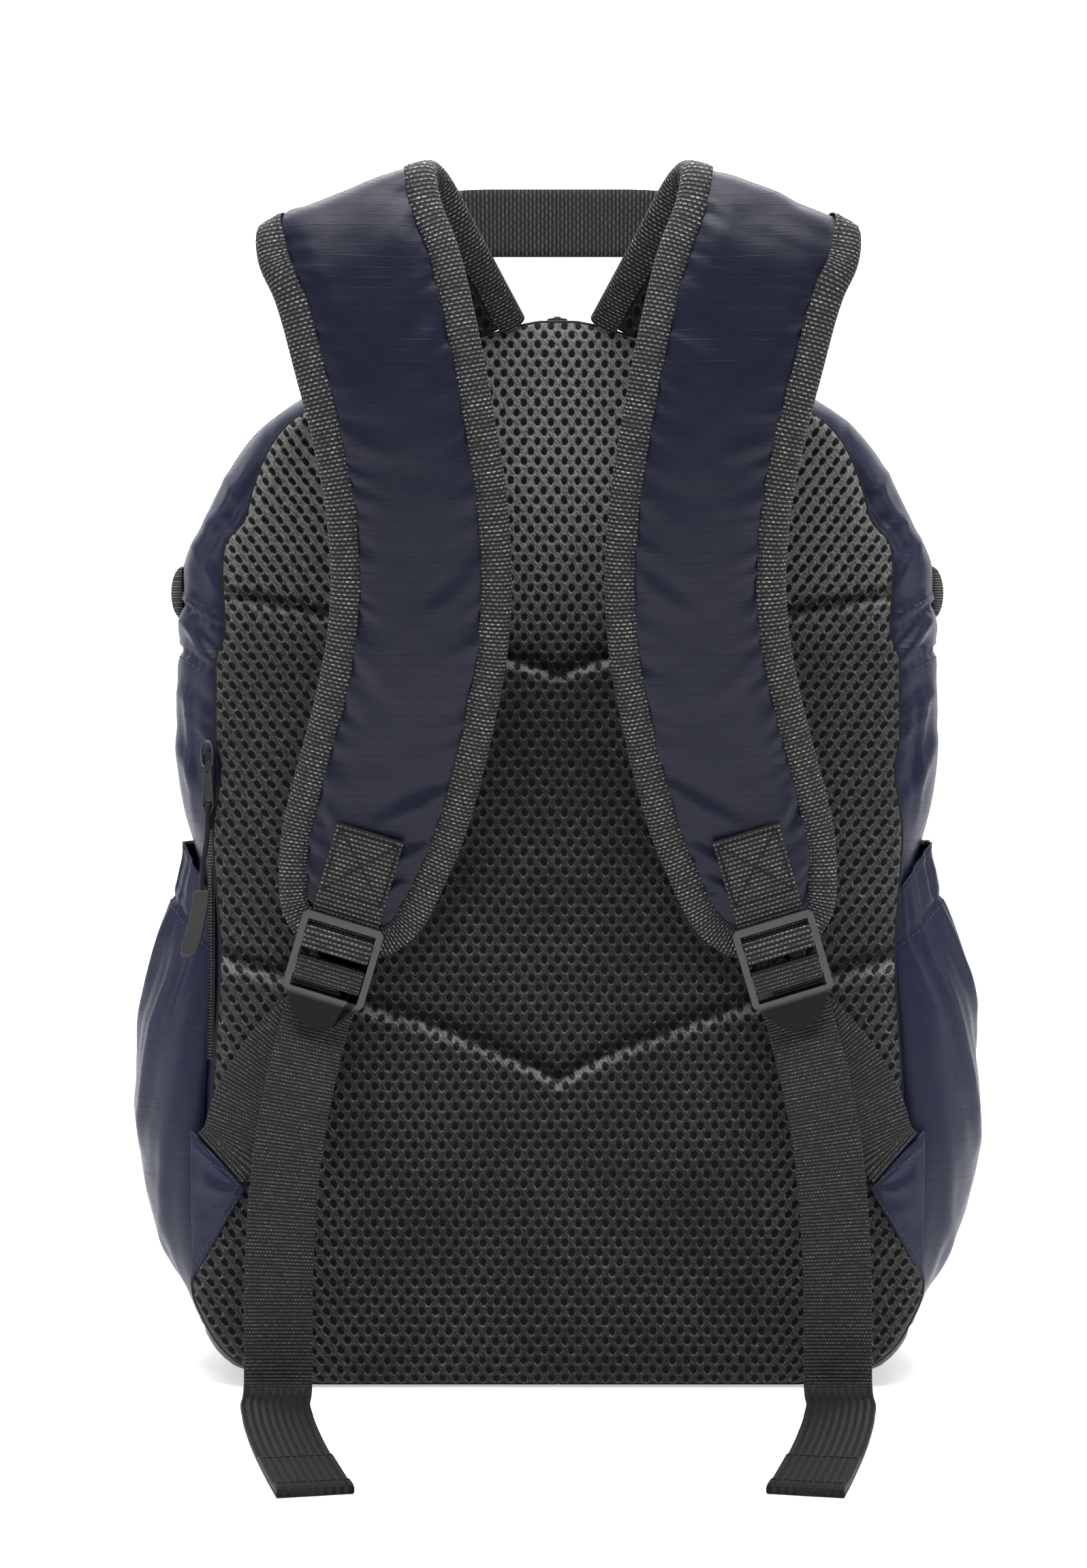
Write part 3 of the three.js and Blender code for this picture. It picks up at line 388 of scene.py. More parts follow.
def air_mesh(name, light, seed, top_paint_strength=0.0, drawn=0.0):
    f = Finish(name, Specular_IOR_Level=0.12)
    place, (across, along, seam) = f.flat_place()
    jitter = f.grain(place, 2.4, 1) - 0.5
    sway = f.grain(place, 30, 1) - 0.5
    pulled = f.ramp(across.maths("ABSOLUTE") * 0.01, [(0.82, 0.0), (1.0, 1.0)]) * drawn
    way = across.maths("SIGN") * -1.0
    ovals, rims = [], []
    for shift in (0.0, 0.5):
        x = ((across + 0.6 * jitter + 2 * sway) * (1 / HOLE_ACROSS) + shift).maths("FRACT") - 0.5
        z = ((along - 0.5 * jitter + 1.5 * sway) * (1 / HOLE_UP) + shift).maths("FRACT") - 0.5
        oval = ((x * HOLE_ACROSS / 1.4) ** 2 + (z * HOLE_UP / 1.95) ** 2).maths("SQRT")
        narrow = (x * way * 4.67 + z * 4.67) / 1.2
        long = (x * way * 3.25 - z * 6.72) / 2.5
        slot = (narrow ** 2 + long ** 2).maths("SQRT")
        oval = oval + (slot - oval) * pulled
        ovals.append(oval)
        # painted highlight: the lower rim of each hole is painted lighter
        lower_rim = f.ramp(z + 0.5, [(0.3, 1.0), (0.47, 0.0)])
        rims.append(f.ramp(oval * 0.5, [(0.4, 0.0), (0.55, 1.0), (0.72, 0.0)]) * lower_rim)
    nearest = ovals[0].maths("MINIMUM", ovals[1])
    rim = rims[0].maths("MAXIMUM", rims[1])
    strand = f.ramp(nearest * 0.5, [(0.38, 0.0), (0.56, 1.0)])
    fuzz = f.grain(place, 0.5, 3, 0.75, stretch=(1, 0.75, 1))
    turned = f.add("ShaderNodeVectorRotate", {"rotation_type": "Z_AXIS"}, {"Vector": place, "Angle": 0.9})
    slant = f.grain(turned, 0.9, 2, 0.7, stretch=(0.3, 1.5, 1))
    worn = f.grain(place, 48 + seed, 3)
    yarn = f.ramp(0.5 * fuzz + 0.5 * slant, [(0.38, 0.03), (0.5, 0.24), (0.62, 1.0)])
    # painted light: the top of the panel is painted lighter, a pool of light from above
    top_paint_light = f.ramp(along * (1 / BAG_HEIGHT), [(0.68, 0.0), (0.86, 1.0), (0.99, 0.8)]) * top_paint_strength
    # painted highlight below a seam line and painted shade above it, read from the cloth's third number
    lit = seam.maths("MAXIMUM", 0.0)
    seam_shade = 1 + 0.85 * seam.maths("MINIMUM", 0.0)
    glow = strand * yarn * (0.5 * worn + top_paint_light + 0.25 * pulled + 2.6 * lit) * seam_shade + 0.3 * lit * yarn
    glint = rim * yarn * (0.4 + 0.9 * worn + 0.5 * top_paint_light)
    colour = f.blend((glow + glint).maths("MINIMUM", 1.0), rgb(9), light)
    return f.wear(colour, 0.85 - 0.2 * strand, strand * 1.0 + 0.3 * yarn, 1.0)


PANEL_MESH = air_mesh("panel_mesh", rgb(130, 130, 128), 0, top_paint_strength=1.6, drawn=1.0)
STRAP_MESH = air_mesh("strap_mesh", rgb(84, 84, 84), 9)
print("mesh finishes made")

# %% [markdown]
# The tapes are woven in bold yarns. Webbing shows rows of short floats, the edge tape is a basket
# weave, and grosgrain has plain ribs. The crests of the floats get painted highlights, near-white
# flecks in patches, where the light would catch them. All of them follow one formula with other
# pitches: rows across, floats along each row, every other row shifted. Where the cloth's third
# number is set, grooves run along the webbing too.

# %% Woven tape finishes
def woven(name, row, float_length, base, light, glint, ribs=0.5, groove=0.0, depth=0.35):
    f = Finish(name, Specular_IOR_Level=0.25, Sheen_Weight=0.02)
    place, (across, along, kind) = f.flat_place()
    ragged = (f.grain(place, 1.6, 2) - 0.5) * 0.55
    level = (along + 0.5 * ragged) * (1 / row)
    shift = level.maths("FLOOR").maths("MODULO", 2.0) * 0.5
    bar = (level.maths("FRACT") * math.pi).maths("SINE")
    dash = (((across + ragged) * (1 / float_length) + shift).maths("FRACT") * math.pi).maths("SINE")
    yarn = (bar ** 3.0) * (0.2 + 0.8 * dash ** 0.6)
    flecks = f.ramp(f.grain(place, 1.1, 3, 0.75), [(0.42, 0.0), (0.64, 1.0)])
    patchy = f.ramp(f.grain(place, 7, 2), [(0.3, 0.3), (0.65, 1.0)])
    # painted highlight: the crests of the floats turn near white in patchy flecks
    crest_glint = f.ramp(yarn, [(0.5, 0.0), (0.9, 1.0)]) * flecks * patchy * glint
    body = f.blend(yarn, base, light)
    colour = f.blend(crest_glint, body, rgb(205))
    long_rib = ((across * (1 / 3.0)).maths("FRACT") * math.pi).maths("SINE") * kind * 1000.0 * groove
    return f.wear(colour, 0.75 - 0.25 * crest_glint, yarn * ribs + bar * 0.4 + long_rib, depth)


EDGE_TAPE = woven("edge_tape", 1.7, 2.3, rgb(8), rgb(48), 0.8, depth=0.28)
PATCH_WEB = woven("patch_webbing", 1.9, 1.9, rgb(6), rgb(56), 0.6, depth=0.35)
WEBBING = woven("webbing", 1.5, 1.3, rgb(7), rgb(38), 0.32, groove=1.0, depth=0.4)
HANDLE_WEB = woven("handle_webbing", 1.65, 3.2, rgb(12), rgb(58), 0.12, ribs=0.25, depth=0.6)
GROSGRAIN = woven("grosgrain", 1.15, 6.0, rgb(32), rgb(104), 0.1, ribs=0.2, depth=0.45)
ZIP_TAPE = woven("zip_tape", 0.8, 0.8, rgb(9), rgb(28), 0.1, depth=0.2)
print("tape finishes made")

# %% [markdown]
# Hard parts come last. The buckles are moulded with a fine spark-eroded texture. Their frame is a
# little glossy and catches the light along its edges, and their tongue is matte, so the gloss is a
# coat that stops at a distance down the buckle. Metal is dark plated and a little worn. Rubber,
# thread and coil are the same formula without the coat.

# %% Plastic, metal, rubber and cord
def moulded(name, colour, rough, grain, depth, metallic=0.0, wear=0.1, shine=0.5, glossy=False):
    f = Finish(name, Metallic=metallic, Specular_IOR_Level=shine)
    place, (_, _, kind) = f.flat_place()
    if glossy:
        coat = f.ramp(kind * 0.01, [(0.34, 1.0), (0.36, 0.0)])
        f.feed(f.shader.inputs["Coat Weight"], coat)
        f.shader.inputs["Coat Roughness"].default_value = 0.28
    fine, broad = f.grain(place, grain, 3, 0.7), f.grain(place, 14, 3)
    tint = f.add("ShaderNodeVectorMath", {"operation": "SCALE"},
                 {0: colour[:3], "Scale": 1 + wear * 4 * (broad - 0.5) + wear * (fine - 0.5)})
    return f.wear(tint, rough + 0.16 * (broad - 0.5) + 0.1 * (fine - 0.5), fine, depth)


PLASTIC = moulded("buckle_plastic", rgb(14), 0.5, 0.35, 0.08, shine=0.12, glossy=True)
METAL = moulded("dark_metal", rgb(78, 78, 80), 0.3, 0.8, 0.02, metallic=0.9, wear=0.2)
RUBBER = moulded("puller_rubber", rgb(24), 0.62, 0.4, 0.06)
COIL = moulded("zip_coil", rgb(18), 0.4, 0.5, 0.03)
THREAD = moulded("thread", rgb(60, 63, 84), 0.6, 0.3, 0.05, shine=0.2)
DARK_THREAD = moulded("dark_thread", rgb(19), 0.7, 0.3, 0.05, shine=0.2)
PIPING = moulded("piping", rgb(13), 0.7, 0.6, 0.1, shine=0.2)
BRAID = woven("braid", 1.1, 1.1, rgb(14), rgb(90), 0.7, depth=0.3)
print("hard finishes made:", len(bpy.data.materials))

# %% [markdown]
# The cord on the small zip is a real cord with a real length, so it is made early. It hangs in a
# loop from the puller's hole and ends in a rubber grip. A curve with a round bevel is the plainest
# way: its line is the cord's own middle, and it can be measured.

# %% Zip cord
CORD_ROUTE = [
    # from the grip up to the turn in the puller's hole, and down again behind it
    (-149.6, -74.5, 209.6), (-149.4, -74.5, 216), (-148.6, -74.3, 223), (-147.6, -74.1, 230),
    (-147.2, -74, 236), (-147.2, -74, 240), (-147.2, -74, 242.9), (-147.2, -73.64, 244.25),
    (-147.2, -72.65, 245.24), (-147.2, -71.3, 245.6), (-147.2, -69.95, 245.24),
    (-147.2, -68.96, 244.25), (-147.2, -68.6, 242.9), (-147.2, -68.6, 240), (-147.2, -68.6, 235),
]
CORD_DIAMETER = 2.2
cord_line, _ = resample(CORD_ROUTE[::-1], 1.1)
curve = bpy.data.curves.new("zip_pull_cord", "CURVE")
curve.dimensions = "3D"
curve.bevel_depth = CORD_DIAMETER / 2 * MM
curve.bevel_resolution = 4
curve.use_fill_caps = True
spline = curve.splines.new("POLY")
spline.points.add(len(cord_line) - 1)
for spot, (x, y, z) in zip(spline.points, cord_line * MM):
    spot.co = (x, y, z, 1)
curve.materials.append(BRAID)
zip_cord = in_scene("zip_pull_cord", curve)
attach(zip_cord, "root")
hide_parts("zip_cord")

# %% [markdown]
# The bag is lofted: level rings, each a box with round corners, tighter towards the back than the
# front. One table gives the half width, back and front at each height. A place on the bag is a
# height and a turn: 0 to 4 runs round the first corner, 4 to 7 across the side, and so on, 28 in
# all, so a pocket or a seam can be put anywhere on the bag by the same two numbers.

# %% The bag's surface
BAG_OUTLINE = [
    # height, half width, back and front, as shares of the bag's height, half width and depth
    [0, 0.776, -0.4, 0.36], [0.011, 0.867, -0.427, 0.42], [0.036, 0.921, -0.44, 0.47],
    [0.093, 0.958, -0.44, 0.52], [0.16, 0.97, -0.44, 0.55], [0.24, 0.97, -0.44, 0.56],
    [0.324, 0.958, -0.44, 0.56], [0.409, 0.945, -0.44, 0.55], [0.484, 0.945, -0.44, 0.53],
    [0.544, 0.982, -0.44, 0.51], [0.6, 0.998, -0.44, 0.49], [0.68, 0.998, -0.44, 0.45],
    [0.697, 0.987, -0.44, 0.44], [0.714, 0.998, -0.44, 0.43], [0.742, 0.984, -0.44, 0.41],
    [0.765, 0.986, -0.44, 0.39], [0.824, 0.921, -0.44, 0.34], [0.869, 0.859, -0.44, 0.29],
    [0.909, 0.776, -0.44, 0.23], [0.933, 0.682, -0.437, 0.19], [0.953, 0.576, -0.433, 0.145],
    [0.973, 0.424, -0.427, 0.085], [0.991, 0.23, -0.41, 0.01], [1, 0.1, -0.37, -0.07],
]


BACK_CORNER, FRONT_CORNER = (22, 36), (50, 42)  # across and deep, in millimetres
BULGES = [1.5, 9, 1.5, 0]  # of the left side, the front, the right side and the back


def bag_at(turn, height):
    """Points of the bag's outside and their level outward directions."""
    turn, height = np.broadcast_arrays(np.asarray(turn, float) % 28, np.asarray(height, float))
    share = height / BAG_HEIGHT
    half = BAG_WIDTH / 2 * through(BAG_OUTLINE, 1, share)
    back, front = (BAG_DEPTH * through(BAG_OUTLINE, column, share) for column in (2, 3))
    k = (turn // 7).astype(int)
    rest = turn - 7 * k

    def corner(k, angle):
        side, face = np.where((k == 0) | (k == 1), -1, 1), np.where((k == 0) | (k == 3), -1, 1)
        wide = np.minimum(np.where(face < 0, BACK_CORNER[0], FRONT_CORNER[0]), 0.8 * half)
        deep = np.minimum(np.where(face < 0, BACK_CORNER[1], FRONT_CORNER[1]), 0.46 * (front - back))
        s, c = np.sin(angle), np.cos(angle)
        s, c = np.where(k % 2 == 0, s, c), np.where(k % 2 == 0, c, s)
        x = side * (half - wide + wide * s)
        y = np.where(face < 0, back + deep - deep * c, front - deep + deep * c)
        out = unit(np.stack([side * s / wide, face * c / deep, 0 * half], -1))
        return np.stack([x, y, height], -1), out

    here, out = corner(k, np.minimum(rest, 4) / 4 * math.pi / 2)
    there, out_there = corner((k + 1) % 4, 0 * half)
    t = np.clip((rest - 4) / 3, 0, 1)[..., None]
    crown = (np.choose(k, BULGES) * np.clip(2 * half / BAG_WIDTH, 0, 1))[..., None]
    out = unit(out * (1 - t) + out_there * t)
    return here * (1 - t) + there * t + out * crown * 4 * t * (1 - t), out


print("half width at 150 mm:", round(float(-bag_at(5.5, 150)[0][0]), 1), "mm")

# %% [markdown]
# Cloth folds where it is pulled: short slanting folds run from the seams beside the zip, long soft
# ones fall down the sides, and the base creases where it turns under. A table names each fold by its
# ends, its width and its height, and broad, shallow noise gives the slack between them. The seams
# themselves are narrow grooves with a thread line above.

# %% Bag shell
SIDE_FOLDS = [
    # across x, height, across x, height, width, rise
    (163, 327, 146, 309, 2.4, 1.5), (160, 335, 144, 324, 1.6, 1.1), (157, 318, 143, 304, 2.0, 1.0),
    (164, 296, 146, 280, 3.0, 1.2), (160, 287, 142, 268, 2.2, 0.9), (165, 277, 150, 245, 3.2, 0.9),
    (157, 300, 155, 236, 1.8, 0.8), (152, 372, 136, 352, 3.5, 1.0), (146, 392, 128, 362, 2.6, 0.8),
    (158, 362, 143, 334, 2.4, 0.9), (128, 413, 120, 392, 2.6, 0.7), (100, 436, 92, 420, 2.2, 0.6),
    (116, 398, 152, 350, 3.2, -1.1), (126, 396, 158, 350, 3.5, 0.9), (104, 414, 126, 388, 3.0, 0.8),
]
FACE_FOLDS = [
    # across y, height, across y, height, width, rise
    (-20, 330, 30, 290, 5, 1.6), (10, 345, 55, 262, 6, 1.4), (-25, 300, 5, 238, 4, 1.2),
    (45, 250, 20, 60, 7, 1.2), (-15, 262, -8, 232, 4, 1.0), (0, 398, 26, 350, 5, 1.2),
]
SIDE_SEAMS = [(331, 0.62), (311, 0.55)]  # height at SEAM_OUT from the middle, and slope
SEAM_OUT = 160
ZIP_LINE, ZIP_END_HEIGHT = -25.0, 347
FRONT_FOLDS = [
    (-120, 70, -30, 34, 8, 1.8), (118, 82, 20, 40, 8, 1.7), (-60, 330, 80, 300, 10, 1.2),
    (130, 250, 60, 150, 9, 1.6), (-130, 230, -66, 120, 9, 1.6), (-40, 410, 30, 380, 8, 1.1),
]
TURN_SPANS = [
    # from, to, places: more of them on the corners and the front
    (26.5, 28, 9), (0, 4, 33), (4, 7, 37), (7, 11, 23), (11, 14, 65), (14, 18, 23), (18, 21, 37),
    (21, 25, 33), (25, 26.5, 9),
]
turns = np.concatenate([np.linspace(first, last, count)[:-1] for first, last, count in TURN_SPANS])
heights = np.concatenate([[0, 0.6, 1.6, 3, 5, 7.5, 10.5], np.linspace(14, 440, 178),
                          [442.5, 445, 447, 448.6, 449.6, BAG_HEIGHT]])
shell, shell_out = bag_at(turns[None, :], heights[:, None])


def body_relief(points, out, seed):
    """How far the cloth stands out at each place, in millimetres."""
    x, y, z = np.moveaxis(points, -1, 0)
    side = np.clip((np.abs(x) - 90) / 50, 0, 1)
    near = np.clip(1 - (y + 22) / 18, 0, 1) * side
    face = np.clip(1 - np.abs(y + 2) / 60, 0, 1) * side
    rise = 0.9 * noise(points, (70, 60, 90), seed) + 0.6 * noise(points, (26, 26, 34), seed + 1)
    rise += 0.25 * noise(points, (9, 9, 12), seed + 2) + 0.06 * noise(points, (4, 4, 5), seed + 3)
    lean = 1 + 0.12 * np.sign(x)
    for x0, z0, x1, z1, width, lift in SIDE_FOLDS:
        rise += 1.6 * lift * near * lean * crease(np.abs(x) + 2 * (x > 0), z, (x0, z0), (x1, z1), width)
    for y0, z0, y1, z1, width, lift in FACE_FOLDS:
        rise += 1.4 * lift * face * crease(y + 6 * (x > 0), z, (y0, z0), (y1, z1), width)
    for x0, z0, x1, z1, width, lift in FRONT_FOLDS:
        rise += lift * np.clip(out[..., 1], 0, 1) * crease(x, z, (x0, z0), (x1, z1), width)
    for level, slope in SIDE_SEAMS:
        off = z - level + slope * (SEAM_OUT - np.abs(x))
        rise += near * (1.1 * np.exp(-((off - 2.4) / 2.0) ** 2) - 1.5 * np.exp(-(off / 0.9) ** 2))
    low = z - 13
    rise += 0.7 * np.exp(-((low - 2) / 2) ** 2) - 0.8 * np.exp(-(low / 1.1) ** 2)
    return rise * np.clip(z / 12, 0.1, 1) * np.clip((BAG_HEIGHT - z) / 10, 0.1, 1)


rise = body_relief(shell, shell_out, 3)
zip_off = np.abs(shell[..., 1] - ZIP_LINE)
zipped = (shell[..., 2] > ZIP_END_HEIGHT) | (heights[:, None] > 449)
hem = 0.7 * zipped * np.exp(-((zip_off - 7.5) / 1.8) ** 2)
rise = np.where(zipped & (zip_off < 5.2), -0.5, rise + hem)
shell = shell + shell_out * rise[..., None]
MIDDLE_RING = 90
flat = grid_of(run_of(shell[MIDDLE_RING]), heights[:, None], 0 * rise)


def closing(points, flat_place, grow):
    """Rings that close an end of the bag flat, from its edge to nearly its middle."""
    middle = points.mean(0, keepdims=True)
    rows = [middle + (points - middle) * (1 - share) for share in grow]
    return np.array(rows), np.array([flat_place + [0, 0, 10 * share] for share in grow])


base, base_flat = closing(shell[0], flat[0], [0.995, 0.8, 0.6, 0.4, 0.2, 0.05])
top, top_flat = closing(shell[-1], flat[-1], [0.2, 0.5, 0.8, 0.995])
whole = np.concatenate([base, shell, top])
whole_flat = np.concatenate([base_flat, flat, top_flat])
piece("bag_cloth", whole, quads(*whole.shape[:2], closed=True), BODY_CLOTH,
      ["bag_shell"], whole_flat)
print("bag rings:", whole.shape[:2])

# %% [markdown]
# The back panel is foam under spacer mesh, sewn down to the bag along two shallow V-shaped lines.
# Foam stays flat between the lines and dives steeply into each one, so its thickness is a table
# over the height with a sharp valley cut at each V, and its edge is pressed thin by the seam round
# it. The mesh's colour has a painted highlight just below each line and painted shade just above it.

# %% Back panel
PANEL_HEIGHT, PANEL_WIDTH = 449, 308
PANEL_THICK, PANEL_EDGE, SEWN_GAP = 9.7, 2.6, 0.3
PANEL_OUTLINE = [
    [0, 0.62], [0.022, 0.87], [0.057, 0.96], [0.095, 1], [0.14, 0.975], [0.2, 0.95], [0.28, 0.942],
    [0.408, 0.922], [0.452, 0.929], [0.519, 0.942], [0.58, 0.922], [0.61, 0.935], [0.68, 0.935],
    [0.71, 0.909], [0.77, 0.916], [0.79, 0.909], [0.813, 0.857], [0.84, 0.835], [0.873, 0.799],
    [0.9, 0.747], [0.924, 0.65], [0.951, 0.52], [0.969, 0.39], [0.982, 0.234], [0.996, 0.1], [1, 0.04],
]
PANEL_RISE = [
    [0.003, 0], [0.055, 0], [0.11, 0.05], [0.18, 0.3], [0.255, 0.78], [0.29, 1], [0.335, 0.97],
    [0.42, 0.78], [0.53, 0.68], [0.67, 0.64], [0.715, 0.56], [0.8, 0.3], [0.88, 0.08],
    [0.93, 0], [0.999, 0],
]
PANEL_FULL = [
    [0, 0], [0.004, 0.3], [0.012, 0.7], [0.03, 0.95], [0.05, 1], [0.8, 1], [0.88, 0.93],
    [0.94, 0.8], [0.97, 0.66], [0.988, 0.4], [0.999, 0],
]
CHANNELS = [(0.29, 5.4), (0.67, 4.6)]  # how far up the panel, and half width in millimetres
close_levels = [np.linspace(m - 0.03, m + 0.03, 34) for m, _ in CHANNELS]
levels = np.unique(np.concatenate([np.linspace(0.003, 0.999, 170), *close_levels]))
spread = np.linspace(-1, 1, 145)
spread = np.sign(spread) * (1 - (1 - np.abs(spread)) ** 1.25)
u, m = np.meshgrid(spread, levels)
panel_z = PANEL_HEIGHT * m + 53 * through(PANEL_RISE, 1, m) * np.abs(u) ** 0.8
panel_half = PANEL_WIDTH / 2 * through(PANEL_OUTLINE, 1, panel_z / PANEL_HEIGHT)
panel_x = u * panel_half
flat_panel = grid_of(panel_x, 0.0, panel_z)
fullness = through(PANEL_FULL, 1, m)
seam_light_and_shade = 0 * u
for middle, width in CHANNELS:
    off = (m - middle) * PANEL_HEIGHT + 0.5 * noise(flat_panel, 14, 5)
    fullness = fullness - 0.78 * np.exp(-np.abs(off / width) ** 1.5) + 0.08 * np.exp(-((off + 8) / 3.5) ** 2)
    patchy = 0.75 + 0.45 * noise(flat_panel, (16, 16, 16), 12)
    # painted highlight just below each seam line, painted shade just above it
    seam_light_and_shade += patchy * np.exp(-((off + 3.6) / 1.5) ** 2) - 0.9 * np.exp(-((off - 1.8) / 2.6) ** 2)
inset = (1 - np.abs(u)) * panel_half
edge = np.clip(inset / 9, 0, 1)
edge = np.sqrt(1 - (1 - edge) ** 2)
thick = PANEL_EDGE + (PANEL_THICK - PANEL_EDGE) * fullness * edge
thick += edge * (0.35 * noise(flat_panel, (46, 46, 60), 6) + 0.14 * noise(flat_panel, 13, 7))
pinch = np.exp(-inset / 12) * 0.5 * noise(flat_panel, (7, 7, 9), 8)
thick = np.maximum(thick + pinch, 1.0)
front = grid_of(panel_x, BACK_PLANE - SEWN_GAP - thick, panel_z)
behind = grid_of(panel_x, BACK_PLANE - SEWN_GAP, panel_z)
panel_cloth = grid_of(panel_x, panel_z, seam_light_and_shade)
panel = slab("mesh_panel", front, behind, panel_cloth, PANEL_MESH, "air_mesh", ["back_panel"])
print("panel grid:", u.shape)

# %% Piping round the panel
rim_z = np.concatenate([np.linspace(1.4, 447, 150), np.linspace(447.4, 448.7, 10)])
rim_x = PANEL_WIDTH / 2 * through(PANEL_OUTLINE, 1, rim_z / PANEL_HEIGHT)
rim_line = np.concatenate([np.stack([-rim_x, rim_z], -1), np.stack([rim_x, rim_z], -1)[::-1]])
rim_line = np.concatenate([[[0, 1.4]], rim_line, [[0.4, 1.4]]])
rim_path, rim_run = resample(grid_of(rim_line[:, 0], BACK_PLANE - 1.5, rim_line[:, 1]), 2.5)
outward = np.broadcast_to([0.0, -1, 0], rim_path.shape)
rim_across = unit(np.cross(unit(np.gradient(rim_path, axis=0)), outward))
ring_points, ring_faces, _ = sweep(circle(1.1, 12)[None], rim_path, rim_across, outward)
piece("panel_piping", ring_points, ring_faces, PIPING)
print("piping length:", round(float(rim_run[-1])), "mm")

# %% [markdown]
# Stitches, coil teeth and other small repeated things are one mesh of many beads. A bead is a short
# thread of six sides with blunt ends. It is set by its middle, the way it runs and the way it
# faces, which is enough to sew along any line, and far lighter than one object for each stitch.

# %% Beads and stitch lines
BEAD_RINGS = [(-0.5, 0.45), (-0.36, 0.95), (0.36, 0.95), (0.5, 0.45)]  # along, and how thick


def beads(name, middles, ways, ups, length, width, rise, finish, slot):
    middles, ways, ups = (np.asarray(v, float).reshape(-1, 3) for v in (middles, ways, ups))
    ways = unit(ways)
    sides = unit(np.cross(ways, ups))
    ups = np.cross(sides, ways)
    shape = np.array([(along * length, swell * math.cos(c) * width / 2, swell * math.sin(c) * rise / 2)
                      for along, swell in BEAD_RINGS for c in np.arange(6) * math.pi / 3])
    points = (middles[:, None] + shape[:, 0:1] * ways[:, None] + shape[:, 1:2] * sides[:, None]
              + shape[:, 2:3] * ups[:, None])
    one = quads(4, 6, closed=True).tolist() + [list(range(6))[::-1], list(range(18, 24))]
    faces = [[v + 24 * k for v in face] for k in range(len(middles)) for face in one]
    return piece(name, points, faces, finish)


def stitch_line(path, facing, pitch=3.2):
    """Middles, ways and facings of stitches sewn along a path of points."""
    path = np.asarray(path, float)
    run = run_of(path)
    at = np.arange(pitch / 2, run[-1], pitch)
    way = read_off(at + 0.5, run, path) - read_off(at - 0.5, run, path)
    facing = np.broadcast_to(np.asarray(facing, float), path.shape)
    return read_off(at, run, path), way, read_off(at, run, facing)


def sew(name, lines, finish, slot, length=2.3, width=0.55):
    parts = [np.concatenate(column) for column in zip(*lines)]
    return beads(name, *parts, length, width, width * 0.8, finish, slot)


print("one bead has 24 corners")

# %% Stitches beside the panel
def shell_line(side, height_at, first, last, stand=0.25):
    """A line on the bag's cloth from one turn to another, with the way out at each place."""
    turn = np.linspace(first, last, 90)
    level = np.full(90, 320.0)
    for _ in range(4):
        level = height_at(np.abs(bag_at(turn, level)[0][:, 0]))
    at, out = bag_at(turn, level)
    flip = flip_for(side)
    grow = body_relief(at * flip, out * flip, 3)
    return (at + out * (grow + stand)[:, None]) * flip, out * flip


for side, name in SIDE_NAME.items():
    lines = []
    for (level, slope), above in zip(SIDE_SEAMS, (4.6, -3.6)):
        line, facing = shell_line(side, lambda x: level + above - slope * (SEAM_OUT - x), 0.95, 6.4)
        lines.append(stitch_line(line, facing, 3.3))
    sew(f"side_seam_stitches_{name}", lines, THREAD, "ripstop", 2.3, 0.5)
print("side seams sewn")

# %% [markdown]
# A side pocket is a thin sheet that stands off the bag. Elastic in its top edge gathers the cloth
# into pleats, which run down and die out over the round belly. It is cut too wide on purpose, so
# the mouth can open, and its wall has an inside that shows when we look in from above.

# %% Side pockets
POCKET_RISE = [
    # up the pocket, how far it stands off the bag in millimetres
    [0, 0], [0.068, 3.4], [0.1, 6.4], [0.2, 15], [0.32, 21], [0.44, 24], [0.62, 23.5], [0.8, 17.5],
    [0.88, 11.5], [0.94, 6.6], [1, 4.4],
]
POCKET_FOLDS = [
    # round, height, round, height, width, rise
    (16, 206, 44, 96, 4.5, 2.4), (36, 208, 66, 120, 5, 2.0), (8, 150, 30, 40, 5, 1.8),
    (70, 208, 74, 90, 6, 2.0), (108, 206, 88, 96, 5, 2.0), (126, 200, 112, 60, 5, 1.8),
    (26, 70, 60, 30, 4.5, 1.6), (122, 80, 84, 32, 4.5, 1.6), (4, 196, 22, 150, 3, 1.5),
    (138, 196, 122, 150, 3, 1.4),
]
CASING = 0.89
POCKET_BASE, POCKET_LAST_TURN, POCKET_ROUND = 22, 9, 150


